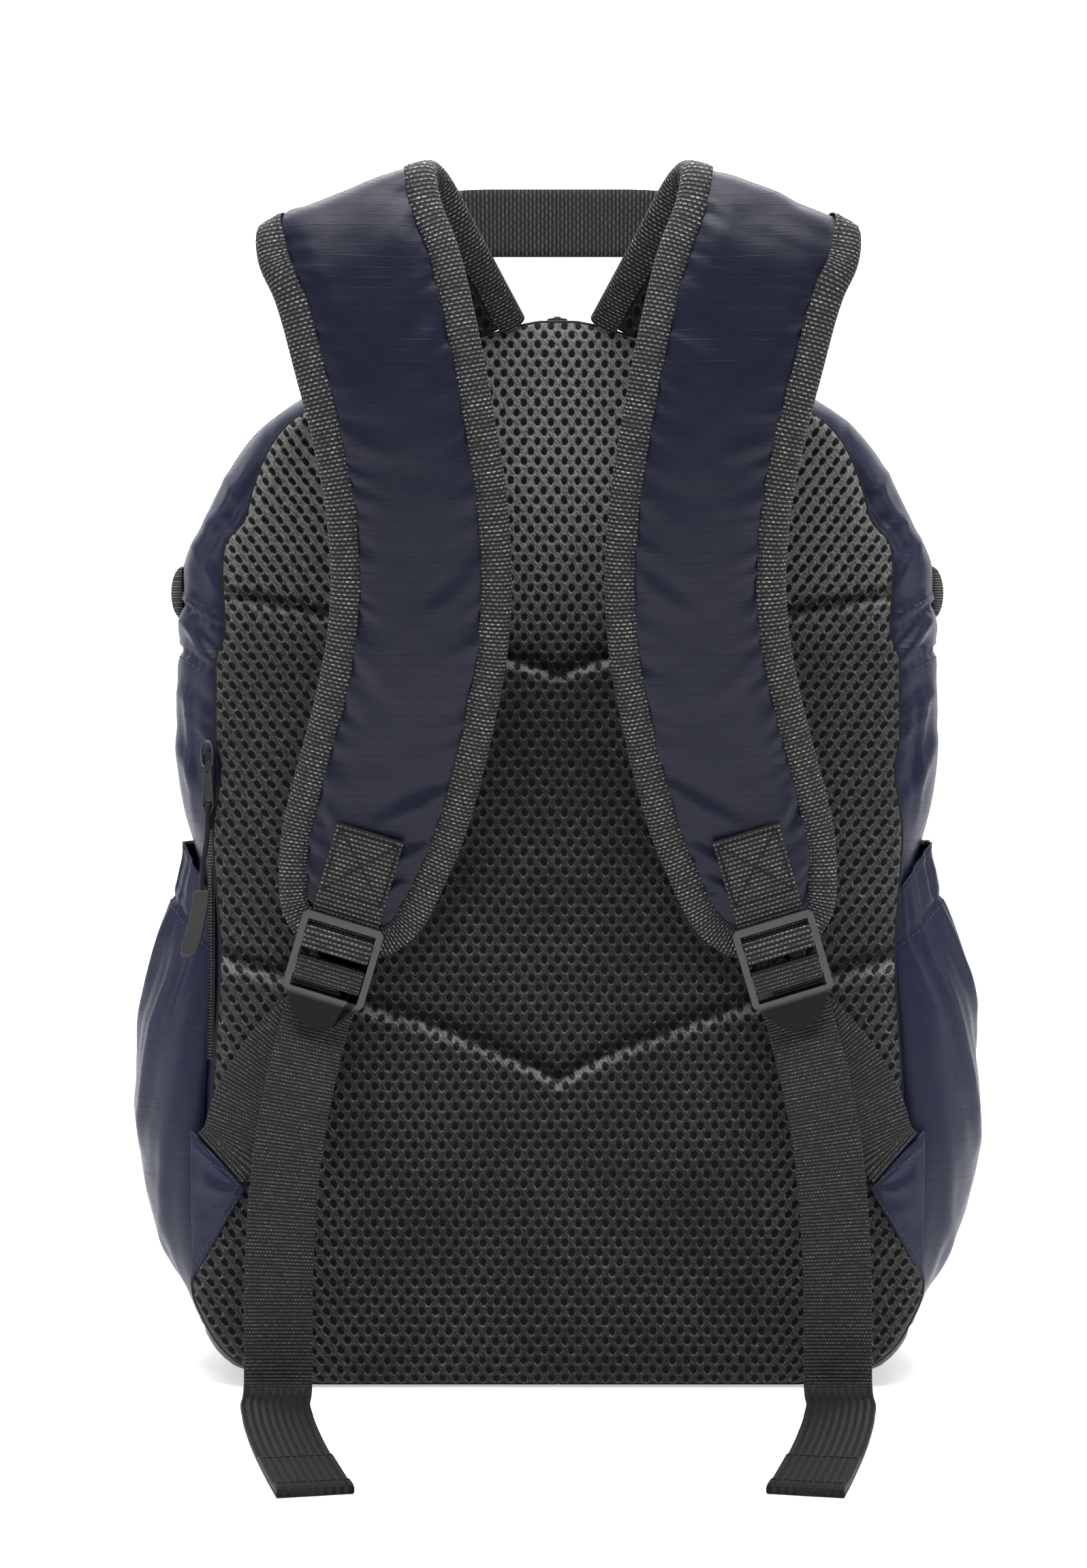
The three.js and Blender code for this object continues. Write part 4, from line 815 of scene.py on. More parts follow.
def side_pocket(side, seed, first_turn):
    share, level = np.meshgrid(np.linspace(0, 1, 176), np.linspace(0, 1, 100))
    top = 204 + 25 * np.minimum(1, share * 3.2) ** 0.8
    z = POCKET_BASE + (top - POCKET_BASE) * level
    at, out = bag_at(first_turn + (POCKET_LAST_TURN - first_turn) * share, z)
    around = np.sin(math.pi * share**0.86) ** 0.82
    stand = through(POCKET_RISE, 1, level)
    flat_at = grid_of(share * POCKET_ROUND, z, 0.0)
    drift = share * POCKET_ROUND + 6 * noise(flat_at, (24, 80, 1), seed) * (1 - level)
    pleat = noise(grid_of(drift, 0.1 * z, 0.0), (6.4, 9, 1), seed + 1)
    fine = noise(grid_of(drift, 0.25 * z, 0.0), (3.0, 6, 1), seed + 2)
    long_fold = noise(grid_of(drift, 0.1 * z, 0.0), (24, 12, 1), seed + 3)
    gather = np.clip((level - 0.5) / 0.42, 0, 1) ** 2.2
    band = np.exp(-((level - CASING) / 0.009) ** 2)
    relief = 1.2 * gather * pleat + 0.6 * gather**2 * fine + 1.5 * long_fold * np.clip(level * 3, 0, 1)
    relief += 1.1 * np.exp(-((level - 0.945) / 0.03) ** 2) - 1.7 * band
    relief += 0.9 * noise(flat_at, (30, 24, 1), seed + 4) * np.clip(4 * level * (1 - level), 0, 1)
    relief += 0.2 * noise(flat_at, (7, 9, 1), seed + 5)
    for x0, z0, x1, z1, width, lift in POCKET_FOLDS:
        relief += lift * crease(flat_at[..., 0], z, (x0, z0), (x1, z1), width)
    reach = 0.5 + around * np.maximum(stand + relief, 0.4)
    wall = at + out * reach[..., None]
    inside = at + out * np.maximum(reach - 1.1, 0.4)[..., None]
    wall[..., 2] += gather * 0.8 * pleat * (level > 0.9)
    cloth = grid_of(share * 165, z, 0.0)
    name = SIDE_NAME[side]
    slab(f"pocket_{name}", wall, inside, cloth, BODY_CLOTH, "ripstop", [f"side_pocket_{name}"], side)
    row = int(CASING * 99) - 1
    flip = flip_for(side)
    casing, facing = wall[row, 2:-2], out[row, 2:-2]
    line = stitch_line((casing + facing * 0.15) * flip, facing * flip, 3.0)
    sew(f"pocket_stitches_{name}", [line], THREAD, "ripstop", 2.1, 0.45)
    return wall


left_pocket = side_pocket(-1, 21, 1.44)
side_pocket(1, 37, 0.85)
print("pocket half width:", round(float(-left_pocket[..., 0].min()), 1), "mm")

# %% [markdown]
# A shoulder strap is one curved pad, ripstop outside and mesh against the wearer. It leaves the top
# of the back, rises, folds over and comes down in front, narrow at the chest and round at its end.
# A table follows its middle line, and every point knows how far it is from the rim, so the foam is
# thin under the edge tape, swells inside it, and puckers where the tape was pulled tight.

# %% Strap line
STRAP_WIDTH, STRAP_THICK, STRAP_REACH = 77, 11, 60
STRAP_PATH = np.array([
    # out, forward, height, lean, half width
    [0.309, 0.057, 0.9775, 17, 1], [0.37, 0.367, 1.013, 17.8, 1], [0.43, 0.603, 1.049, 19.2, 1],
    [0.488, 0.832, 1.0832, 20.5, 1], [0.503, 0.895, 1.0882, 21, 1], [0.515, 0.965, 1.0876, 21, 1],
    [0.518, 1.022, 1.0817, 21, 1], [0.515, 1.06, 1.0712, 20.5, 1], [0.502, 1.105, 1.049, 18.8, 1],
    [0.47, 1.135, 1.023, 16.5, 0.99], [0.416, 1.14, 0.948, 12, 0.974], [0.374, 1.07, 0.876, 8.5, 0.95],
    [0.345, 0.963, 0.809, 5, 0.945], [0.336, 0.848, 0.75, 0, 0.95], [0.345, 0.752, 0.7, -6, 0.955],
    [0.378, 0.622, 0.636, -11, 0.96], [0.439, 0.452, 0.553, -14.5, 0.97], [0.464, 0.399, 0.524, -16, 0.955],
    [0.495, 0.342, 0.49, -17, 0.91], [0.519, 0.308, 0.457, -18, 0.83], [0.544, 0.292, 0.433, -18.5, 0.7],
    [0.566, 0.283, 0.415, -18.5, 0.47], [0.578, 0.28, 0.405, -18.5, 0.24],
])


def strap_frames(path):
    """Middle points, ways across, ways along and facings of the left strap's rows."""
    out, forward, height, lean = path[:, :4].T
    at = grid_of(-out * BAG_WIDTH / 2, BACK_PLANE - forward * STRAP_REACH, height * BAG_HEIGHT)
    lean = np.radians(lean)
    across = grid_of(np.cos(lean), 0.0, np.sin(lean))
    row = np.arange(len(path))
    before, after = np.maximum(row - 1, 0), np.minimum(row + 1, len(path) - 1)
    along = unit(at[after] - at[before])
    return at, across, along, unit(np.cross(along, across))


coarse = strap_frames(STRAP_PATH)
strap_run = run_of(coarse[0])
fine_from = strap_run[-1] - 40
fine_run = np.concatenate([np.arange(0, fine_from, 2.2), np.linspace(fine_from, strap_run[-1], 26)])
strap_table = np.column_stack([strap_run, STRAP_PATH])
fine_path = np.column_stack([through(strap_table, k, fine_run) for k in range(1, 6)])
strap_at, strap_across, strap_along, strap_up = strap_frames(fine_path)
strap_half = fine_path[:, 4] * STRAP_WIDTH / 2
apex = int(np.argmax(strap_at[:, 2]))
to_rim = strap_across * strap_half[:, None]
rim = np.concatenate([strap_at - to_rim, (strap_at + to_rim)[::-1]])
rim_up = np.concatenate([strap_up, strap_up[::-1]])
print("strap length:", round(float(strap_run[-1])), "mm, rows:", len(fine_run))

# %% Strap pads
STRAP_FOLDS = [
    # across, up from the end, across, up from the end, width, rise
    (30, 62, -6, 30, 3.2, 1.2), (28, 84, 0, 58, 4.0, 0.9), (22, 44, 6, 24, 2.4, 0.9),
    (-26, 70, -8, 46, 3.0, 0.7), (-24, 130, 0, 112, 4, 0.5), (26, 168, 2, 150, 4, 0.6),
    (-26, 226, -4, 214, 4, 0.5), (24, 262, 4, 246, 5, 0.5),
]


def strap_pads(side, seed):
    share = np.sin(np.linspace(-1, 1, 61) * math.pi / 2 * 0.94) / math.sin(math.pi / 2 * 0.94)
    spread = strap_half[:, None] - 1.6
    q = share[None] * spread
    middle = strap_at[:, None] + strap_across[:, None] * q[..., None]
    middle[-1] -= strap_along[-1] * 1.6
    last, next_side = rim[len(strap_at) - 1], rim[len(strap_at)]
    end_rim = [last * (1 - t) + next_side * t for t in np.linspace(0, 1, 12)[:, None, None]]
    rims = np.concatenate([rim, *end_rim])
    inward = np.min(np.linalg.norm(middle[:, :, None] - rims[None, None], axis=-1), axis=2)
    run = np.broadcast_to(fine_run[:, None], q.shape)
    spot = grid_of(q, run, 0.0)
    full = np.sin(math.pi / 2 * np.clip((inward - 10.5) / 13, 0, 1)) ** 0.8
    pucker = np.exp(-np.abs(inward - 13) / 6) * np.clip((inward - 9) / 3, 0, 1)
    drift = run + 0.35 * q * np.sign(q) + 2 * noise(spot, (30, 20, 1), seed)
    ripple = noise(grid_of(q * 0.2, drift, 0.0), (9, 4.6, 1), seed + 1)
    ripple += 0.6 * noise(grid_of(q * 0.3, drift, 0.0), (6, 2.6, 1), seed + 2)
    slack = 0.5 * noise(spot, (26, 34, 1), seed + 3) + 0.16 * noise(spot, (9, 10, 1), seed + 4)
    bend = np.exp(-((run - fine_run[apex]) / 22) ** 2)
    slack = slack + bend * 0.5 * noise(spot, (14, 5, 1), seed + 5)
    outer = 3.1 + 3.0 * full + 1.25 * pucker * ripple + 1.3 * full * slack
    for q0, s0, q1, s1, width, lift in STRAP_FOLDS:
        fold = crease(q, fine_run[-1] - run, (q0, s0), (q1, s1), width)
        outer += 1.5 * lift * np.clip((inward - 10) / 5, 0, 1) * fold
    outer -= 2.3 * bend * full
    inner = 3.1 + 2.2 * full + 0.5 * pucker * ripple + 0.4 * full * noise(spot, (24, 30, 1), seed + 6)
    level, over = middle[..., 2], 2 * strap_at[apex, 2] - middle[..., 2]
    drop = np.where(np.arange(len(strap_at))[:, None] > apex, level, over)
    cloth = grid_of(middle[..., 0], drop, 0.0)
    name = SIDE_NAME[side]
    for part, sign, half, finish, slot in (("strap_cloth", 1, outer, STRAP_CLOTH_DARKENED, "ripstop"),
                                           ("strap_lining", -1, inner, STRAP_MESH, "air_mesh")):
        face = middle + strap_up[:, None] * (sign * half)[..., None]
        core = middle + strap_up[:, None] * (sign * 0.05)
        nodes = [f"strap_pad_{name}"] if sign > 0 else []
        pad = slab(f"{part}_{name}", face, core, cloth, finish, slot, nodes, side)
    return outer


pad_faces = strap_pads(-1, 51)
strap_pads(1, 77)
print("thickest half of a strap:", round(float(pad_faces.max()), 1), "mm")

# %% [markdown]
# Edge tape is folded over the strap's raw edge and sewn through. It runs down one side, round the
# end and up the other as one length, so it is one section, a thin C, carried along the rim. Its
# inner edge wavers a little, and a stitch line follows 1.5 mm inside that edge.

# %% Strap bindings
TAPE_PROFILE = np.array([
    # inwards from the rim, and up
    (11.9, 3.75), (12.1, 4.3), (10.5, 4.6), (7, 4.65), (4, 4.4), (1.8, 3.7), (0.4, 2.4), (-0.2, 0.8),
    (-0.2, -0.8), (0.4, -2.4), (1.8, -3.7), (4, -4.4), (7, -4.65), (10.5, -4.6), (12.1, -4.3),
    (11.9, -3.75), (7, -3.7), (3, -3.2), (1.2, -1.2), (1.2, 1.2), (3, 3.2), (7, 3.7),
])


def softened(values, passes):
    for _ in range(passes):
        values[1:-1] = (values[:-2] + 2 * values[1:-1] + values[2:]) / 4
    return values


def strap_binding(side, seed):
    run = run_of(rim)
    even = np.linspace(0, run[-1], int(run[-1] / 1.9))
    at = softened(read_off(even, run, rim), 6)
    up = unit(softened(read_off(even, run, rim_up), 6))
    inward = unit(np.cross(unit(np.gradient(at, axis=0)), up))
    home = read_off(even, run, np.concatenate([strap_at, strap_at[::-1]])) - at
    inward *= np.sign(np.sum(inward * home, -1, keepdims=True))
    profile = np.broadcast_to(TAPE_PROFILE, (len(even), *TAPE_PROFILE.shape)).copy()
    wavy = 1 + 0.035 * noise(grid_of(0.0, even, 0.0), (1, 7, 1), seed)
    wide = profile[..., 0] > 5
    profile[..., 0] = np.where(wide, profile[..., 0] * wavy[:, None], profile[..., 0])
    spot = grid_of(profile[..., 0], even[:, None], profile[..., 1])
    profile[..., 1] *= 1 + 0.05 * noise(spot, (5, 4, 9), seed + 1)
    points, faces, _ = sweep(profile, at, inward, up)
    cloth = grid_of(run_of(TAPE_PROFILE)[None], even[:, None], 0.0)
    name = SIDE_NAME[side]
    piece(f"strap_tape_{name}", points, faces, EDGE_TAPE, [f"strap_binding_{name}"],
          cloth, mirror=side > 0)
    flip = flip_for(side)
    lines = [stitch_line((at + inward * 10.3 + up * sign * 4.62) * flip, up * sign * flip, 2.6)
             for sign in (1, -1)]
    sew(f"strap_tape_stitches_{name}", lines, DARK_THREAD, "edge_tape", 1.9, 0.5)


strap_binding(-1, 61)
strap_binding(1, 87)
print("rim length:", round(float(run_of(rim)[-1])), "mm")

# %% [markdown]
# The buckle hangs from a patch of webbing sewn on the strap's end. Its frame runs across, down and
# out of the strap, and the patch, the loops and the buckle all use it. Webbing bends only across
# its width, so each strip is a short list of places along the bend that a smooth curve joins.

# %% Buckle frame and webbing strips
WEB_WIDTH, WEB_THICK = 28.4, 1.4
seat_at, seat_across, _, seat_up = coarse
seats = seat_at + seat_up * STRAP_THICK / 2
SEAT, SEAT_END = 17, 19  # rows of the strap's table that the patch is sewn on
HANGS_BELOW, STANDS_OFF = 38, 5.9
buckle_down = unit(seats[SEAT_END] - seats[SEAT])
leaning = seat_across[SEAT_END]
buckle_across = unit(leaning - buckle_down * (leaning @ buckle_down))
buckle_out = np.cross(buckle_down, buckle_across)
buckle_from = seats[SEAT] + buckle_down * HANGS_BELOW + buckle_out * STANDS_OFF


def in_buckle(places):
    """Points given as across, down and out of the buckle, from the middle of its top edge."""
    w, l, n = np.moveaxis(np.asarray(places, float), -1, 0)
    return (buckle_from + w[..., None] * buckle_across + l[..., None] * buckle_down
            + n[..., None] * buckle_out)


def webbing(name, at, across, thick, grooved, finish, nodes, mirror=False):
    """A strip through places, with the way across, the thickness and the grooving at each."""
    run = run_of(at)
    even = [np.linspace(a, b, max(3, int((b - a) / 2)) + 1)[:-1] for a, b in zip(run, run[1:])]
    even = np.concatenate([*even, run[-1:]])
    table = np.column_stack([run, at, across, thick, grooved])
    smooth = np.column_stack([through(table, k, even) for k in range(1, 9)])
    at, across, thick, grooved = smooth[:, :3], smooth[:, 3:6], smooth[:, 6], smooth[:, 7]
    along = unit(np.gradient(at, even, axis=0))
    across = unit(across - along * np.sum(across * along, -1, keepdims=True))
    up = np.cross(along, across)
    half = WEB_WIDTH / 2
    flat = np.linspace(-half + 0.5, half - 0.5, 9)
    face = [(u, 0.5) for u in flat] + [(half - 0.1, 0.32), (half, 0), (half - 0.1, -0.32)]
    face += [(u, -0.5) for u in flat[::-1]] + [(0.1 - half, -0.32), (-half, 0), (0.1 - half, 0.32)]
    section = np.broadcast_to(np.array(face), (len(at), len(face), 2)).copy()
    section[..., 1] *= thick[:, None]
    section[..., 1] += 0.05 * noise(grid_of(section[..., 0], even[:, None], 0.0), (9, 12, 1), 5)
    points, faces, _ = sweep(section, at, across, up)
    cloth = grid_of(section[..., 0], even[:, None], grooved[:, None])
    piece(name, points, faces, finish, nodes, cloth, mirror)
    return len(at)


print("buckle leans", round(math.degrees(math.atan2(buckle_across[2], buckle_across[0])), 1), "degrees")

# %% Webbing patch and its loop
PATCH_RUN = [
    # down and out of the buckle, from the sewn end round the bar and back
    (-37.6, -2.62), (-20, -2.62), (-4, -2.62), (3.4, -2.6), (5.4, -1.6), (6.3, 0.2), (7.2, 2.0), (8.8, 2.72),
    (11.4, 2.75), (13.4, 2.7), (14.7, 2.0), (15.15, 0.2), (14.7, -1.6), (13.2, -2.8), (8.8, -3.7), (0, -4.02),
    (-18, -4.05), (-37.6, -4.05),
]
BOX_AND_CROSS = [
    # across and down the buckle: the seam goes round a box and then from corner to corner
    (-12.6, -36.4), (12.6, -36.4), (12.6, -9.5), (-12.6, -9.5), (-12.6, -36.4), (12.6, -9.5),
    (12.6, -36.4), (-12.6, -9.5),
]


def strap_patch(side):
    name = SIDE_NAME[side]
    at = in_buckle([(0, l, n) for l, n in PATCH_RUN])
    across = np.broadcast_to(buckle_across, at.shape)
    webbing(f"strap_patch_{name}", at, across, np.full(len(at), WEB_THICK), np.zeros(len(at)),
            PATCH_WEB, [f"strap_webbing_{name}"], mirror=side > 0)
    flip = flip_for(side)
    path = in_buckle([(w, l, -1.82) for w, l in BOX_AND_CROSS]) * flip
    lines = [stitch_line([a, b], buckle_out * flip, 2.2) for a, b in zip(path, path[1:])]
    sew(f"strap_patch_stitches_{name}", lines, DARK_THREAD, "webbing", 1.9, 0.8)


strap_patch(-1)
strap_patch(1)
print("patches sewn")

# %% [markdown]
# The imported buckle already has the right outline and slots. A moulded part has no sharp edges, so
# a copy of it is cleaned of its flat triangles and given a small round along every edge, which
# catches the light as a bright line. Other small hard parts are treated in the same way.

# %% Rounded hard parts
def rounded(node, name, finish, radius, segments=2, kind=None):
    """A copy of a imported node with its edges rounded, which stands for that node."""
    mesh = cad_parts[node].data.copy()
    mesh.name = name
    mesh.materials.clear()
    shape = bmesh.new()
    shape.from_mesh(mesh)
    bmesh.ops.remove_doubles(shape, verts=shape.verts, dist=1e-6)
    bmesh.ops.dissolve_limit(shape, angle_limit=math.radians(3), verts=shape.verts, edges=shape.edges)
    sharp = [e for e in shape.edges if e.is_manifold and e.calc_face_angle(0) > math.radians(25)]
    bmesh.ops.bevel(shape, geom=sharp, offset=radius * MM, segments=segments, affect="EDGES",
                    profile=0.5, clamp_overlap=True)
    bmesh.ops.recalc_face_normals(shape, faces=shape.faces)
    shape.to_mesh(mesh)
    shape.free()
    mesh.shade_smooth()
    made = in_scene(name, mesh)
    made.modifiers.new("even shading", "WEIGHTED_NORMAL").keep_sharp = False
    places = np.zeros(len(mesh.vertices) * 3, np.float32)
    mesh.vertices.foreach_get("co", places)
    if kind:
        spots = places.reshape(-1, 3) / MM
        places[2::3] = kind(spots) * MM
    mesh.attributes.new("cloth", "FLOAT_VECTOR", "POINT").data.foreach_set("vector", places)
    made.data.materials.append(finish)
    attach(made, "root")
    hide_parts(node)
    PIECES.append(made)
    return made


def down_buckle(spots):
    """How far places are down a buckle from its top edge, which tells its frame from its tongue."""
    spots = spots * np.array([-1, 1, 1]) if spots[0, 0] > 0 else spots
    return (spots - buckle_from) @ buckle_down


for side in ("left", "right"):
    rounded(f"ladder_lock_{side}", f"buckle_{side}", PLASTIC, 1.3, 4, down_buckle)
rounded("side_zip_slider", "side_slider", METAL, 0.25)
rounded("main_zip_slider", "top_slider", METAL, 0.3)
rounded("main_zip_puller", "top_puller", RUBBER, 0.4)
print("rounded parts made")

# %% [markdown]
# The lower webbing is sewn under the wing, rises behind the buckle, goes round its lower bar and
# hangs down as the tail that the wearer pulls. The tails are long enough to reach the floor, where
# they turn towards us and end in a rolled hem. The part on the floor shows grooves along it.

# %% Lower webbing
SWING, ON_FLOOR = 28.5, 156
LOWER_BAR = (20.7, 27.2)
PANEL_FRONT = BACK_PLANE - SEWN_GAP - PANEL_THICK


def on_panel(out, up, forward):
    return np.array([-out * PANEL_WIDTH / 2, PANEL_FRONT - forward, up * PANEL_HEIGHT])


WING_TOP, WING_LOW = on_panel(1.004, 0.243, -6.4), on_panel(0.998, 0.098, -6.4)
WING_TIP = on_panel(0.845, 0.191, 0.3)
HANGING = [
    # out, forward, height, as shares of the bag's half width, the panel's thickness and the height
    (0.652, 1.55, 0.28), (0.681, 1.5, 0.217), (0.697, 1.55, 0.145), (0.702, 1.6, 0.085),
    (0.702, 1.6, 0.035),
]
LYING = [
    # how far along the floor, and how thick with the hem's folds
    (0.2, 1.4), (0.42, 1.4), (0.64, 1.4), (0.675, 2.7), (0.72, 2.8), (0.93, 2.8), (0.945, 3.6),
    (0.985, 3.7), (1, 3.0),
]


def on_floor(landed, share, height):
    """A place on the part of a tail that lies on the floor, and the way across it there."""
    way = unit(np.array([1, 1.3 * SWING * share**0.3 / ON_FLOOR, 0]))
    return np.array([landed[0] + SWING * share**1.3, landed[1] - ON_FLOOR * share, height]), way


def lower_webbing(side):
    low, high = LOWER_BAR
    wing_across = unit(WING_TIP - WING_TOP)
    away = unit(np.array([-wing_across[2], 0, wing_across[0]]))
    start = WING_TOP * 0.48 + WING_TIP * 0.52 + away * 0.45 + np.array([0, -3.5, 0])
    back = in_buckle([0, high + 14, -5.62])
    first = start + away * 6
    spots = [(start, wing_across, WEB_THICK, 0)]
    for share in (0, 0.22, 0.4, 0.6, 0.8):
        bow = 5 * math.sin(math.pi * share)
        spots.append((first * (1 - share) + back * share + [-bow, 0, 0.4 * bow],
                      unit(wing_across * (1 - share) + buckle_across * share), WEB_THICK, 0))
    for l, n in ((high + 14, -5.62), (high + 5, -4.92), (high + 0.2, -4.1), (low, -3.5),
                 (low - 1.1, -2.2), (low - 1.35, 0.2), (low - 0.7, 2.1), (low + 0.7, 2.75),
                 (high - 0.7, 2.75), (high + 0.8, 2.0), (high + 1.35, 0.1), (high + 1.6, -1.6),
                 (high + 2.6, -2.7), (34, -2.75), (48, -2.75)):
        spots.append((in_buckle([0, l, n]), buckle_across, WEB_THICK, 0))
    level = np.array([1.0, 0, 0])
    for k, (out, forward, height) in enumerate(HANGING):
        lean = min(1, (k + 1) / 3)
        place = [-out * BAG_WIDTH / 2, PANEL_FRONT - forward * PANEL_THICK, height * BAG_HEIGHT]
        spots.append((np.array(place), buckle_across * (1 - lean) + level * lean, WEB_THICK, 0))
    foot = spots[-1][0]
    bend = 9
    for share in (0.3, 0.65, 1):
        angle = math.pi / 2 * share
        forward, height = bend * (1 - math.cos(angle)), 0.85 + bend * (1 - math.sin(angle))
        place = np.array([foot[0], foot[1] - forward, height])
        spots.append((place, level, WEB_THICK, (share - 0.3) / 0.7))
    landed = spots[-1][0]
    for share, thick in LYING:
        spots.append((*on_floor(landed, share, (thick + 0.3) / 2), thick, 1))
    name = SIDE_NAME[side]
    rings = webbing(f"tail_{name}", *(np.array(column) for column in zip(*spots)), WEBBING,
                    [f"lower_webbing_{name}"], mirror=side > 0)
    flip = flip_for(side)
    lines = []
    for share, height in ((0.69, 3.15), (0.935, 3.15), (0.955, 3.95)):
        here, way = on_floor(landed, share, height)
        lines.append(stitch_line([(here - way * 13) * flip, (here + way * 13) * flip], (0, 0, 1), 2.2))
    sew(f"tail_stitches_{name}", lines, DARK_THREAD, "webbing", 1.7, 0.5)
    return rings


print("tail rings:", lower_webbing(-1), lower_webbing(1))

# %% Wings
def wing(side, seed):
    across, down = np.meshgrid(np.linspace(0, 1, 34), np.linspace(0, 1, 50), indexing="ij")
    reach = (0.97 * across)[..., None]
    upper = WING_TOP * (1 - reach) + WING_TIP * reach
    lower = WING_LOW * (1 - reach) + WING_TIP * reach
    at = upper * (1 - down[..., None]) + lower * down[..., None]
    swell = np.sin(math.pi * across) * 1.6
    rim_off = np.minimum(down, 1 - down) * np.linalg.norm(upper - lower, axis=-1)
    soft = np.clip(rim_off / 3, 0, 1) ** 0.5
    relief = 0.5 * noise(at, (9, 9, 12), seed) + 0.22 * noise(at, (4, 4, 5), seed + 1)
    relief += 0.9 * crease(across, down, (0.1, 0.3), (0.9, 0.52), 0.09)
    relief -= 0.5 * np.exp(-((rim_off - 3.4) / 0.7) ** 2)
    front = 1.2 + 1.8 * soft + swell + relief * soft
    outer = at - grid_of(0.0, front, 0.0)
    inner = at - grid_of(0.0, swell * 0.4, 0.0)
    name = SIDE_NAME[side]
    x, z = at[..., 0], at[..., 2]
    cloth = grid_of(x * 0.8 + z * 0.6, z * 0.8 - x * 0.6, 0.0)
    slab(f"folded_wing_{name}", outer, inner, cloth, BODY_CLOTH, "ripstop", [f"wing_{name}"], side)
    flip = flip_for(side)
    lines = []
    for d, stop in ((6, 30), (44, 31)):
        lines.append(stitch_line((outer[2:stop, d] + [0, -0.1, 0]) * flip, (0, -1, 0), 2.8))
    sew(f"wing_stitches_{name}", lines, THREAD, "ripstop", 2.0, 0.45)


wing(-1, 91)
wing(1, 97)
print("wings folded")

# %% [markdown]
# The grab handle is the same webbing on edge. It spans the middle of the top, turns back behind the
# straps and goes down into the seam. Its ribs stand across the strip.

# %% Grab handle
HANDLE = [
    # out, back, down and how far it has turned, all as shares
    (0, 0, 0, 0), (0.5, 0, 0, 0), (0.78, 0.02, 0.005, 0.02), (0.92, 0.14, 0.07, 0.18),
    (0.99, 0.4, 0.22, 0.5), (1, 0.75, 0.45, 0.8), (0.99, 0.96, 0.66, 0.96), (0.98, 1, 0.84, 1),
    (0.98, 1, 1, 1),
]
HANDLE_MIDDLE, HANDLE_HALF, HANDLE_DEPTH = 488, 51.5, 31
handle_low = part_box("grab_handle")[0].z / MM
ends = []
for sign in (-1, 1):
    for out, back, drop, turn in (HANDLE[::-1] if sign < 0 else HANDLE[1:]):
        angle = turn * math.pi / 2
        place = [sign * out * HANDLE_HALF, BACK_PLANE - 16 + back * HANDLE_DEPTH,
                 HANDLE_MIDDLE + (handle_low - HANDLE_MIDDLE) * drop]
        way = unit(np.array([-sign * 0.12 * math.sin(angle), math.sin(angle), math.cos(angle)]))
        ends.append((place, way, 1.8, 0))
webbing("top_handle", *(np.array(column) for column in zip(*ends)), HANDLE_WEB, ["grab_handle"])
print("handle from", round(handle_low), "to 502 mm")

# %% [markdown]
# A coil zip is two rows of nylon loops locked together down the middle of a woven tape. From a
# little way off the loops read as a fine ladder, so each pair is one bead across the tape. The
# main zip runs over the top of the bag, and the short one down its left side.

# %% Main zip
left_side = []
for z in np.concatenate([np.linspace(ZIP_END_HEIGHT + 1, 440, 70), np.linspace(441, BAG_HEIGHT, 16)]):
    x, y, _ = bag_at(np.linspace(0, 7, 160), z)[0].T
    left_side.append([np.interp(ZIP_LINE, y, x) if y.max() > ZIP_LINE else -10.0, ZIP_LINE, z])
left_side = np.array(left_side)
zip_path = np.concatenate([left_side, left_side[::-1] * [-1, 1, 1]])
apart = np.linalg.norm(np.diff(zip_path, axis=0), axis=1) > 0.3
zip_path, _ = resample(zip_path[np.concatenate([[True], apart])], 2.5)
zip_path = softened(zip_path, 8)
zip_along = unit(np.gradient(zip_path, axis=0))
zip_across = np.broadcast_to([0.0, 1, 0], zip_path.shape)
zip_up = unit(np.cross(zip_along, zip_across))
zip_up *= np.sign(np.sum(zip_up * (zip_path - [0, ZIP_LINE, 300]), -1, keepdims=True))
band = np.array([(-4.7, 0.15), (-2, 0.25), (2, 0.25), (4.7, 0.15), (4.7, -0.7), (-4.7, -0.7)])
tape, tape_faces, zip_run = sweep(band[None], zip_path, zip_across, zip_up)
tape_cloth = grid_of(band[None, :, 0], zip_run[:, None], 0.0)
piece("top_zip_tape", tape, tape_faces, ZIP_TAPE, ["main_zip"], tape_cloth)
tooth = np.arange(1, zip_run[-1], 1.35)
tooth_at, tooth_way, tooth_up = (read_off(tooth, zip_run, v) for v in (zip_path, zip_across, zip_up))
beads("top_zip_coil", tooth_at + tooth_up * 0.55, tooth_way, tooth_up, 3.4, 1.0, 1.1, COIL, "zip")
print("main zip:", round(float(zip_run[-1])), "mm,", len(tooth), "teeth")

# %% Side zip
side_low, side_high = (np.array(c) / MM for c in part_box("side_zip"))
rounded("side_zip", "side_zip_tape", ZIP_TAPE, 0.1, 1)
rungs = np.arange(side_low[2] + 1, side_high[2] - 1, 1.3)
zip_x = (side_low[0] + side_high[0]) / 2
rung_at, rung_up = [], []
for z in rungs:
    ring, out = bag_at(np.linspace(0, 4, 90), z)
    grown = ring + out * 1.75
    k = int(np.argmin(np.abs(grown[:, 0] - zip_x)))
    rung_at.append(grown[k])
    rung_up.append(out[k])
beads("side_zip_coil", rung_at, np.cross(rung_up, [0, 0, 1.0]), rung_up, 2.9, 0.95, 0.9, COIL, "zip")
print("side zip:", len(rungs), "teeth")

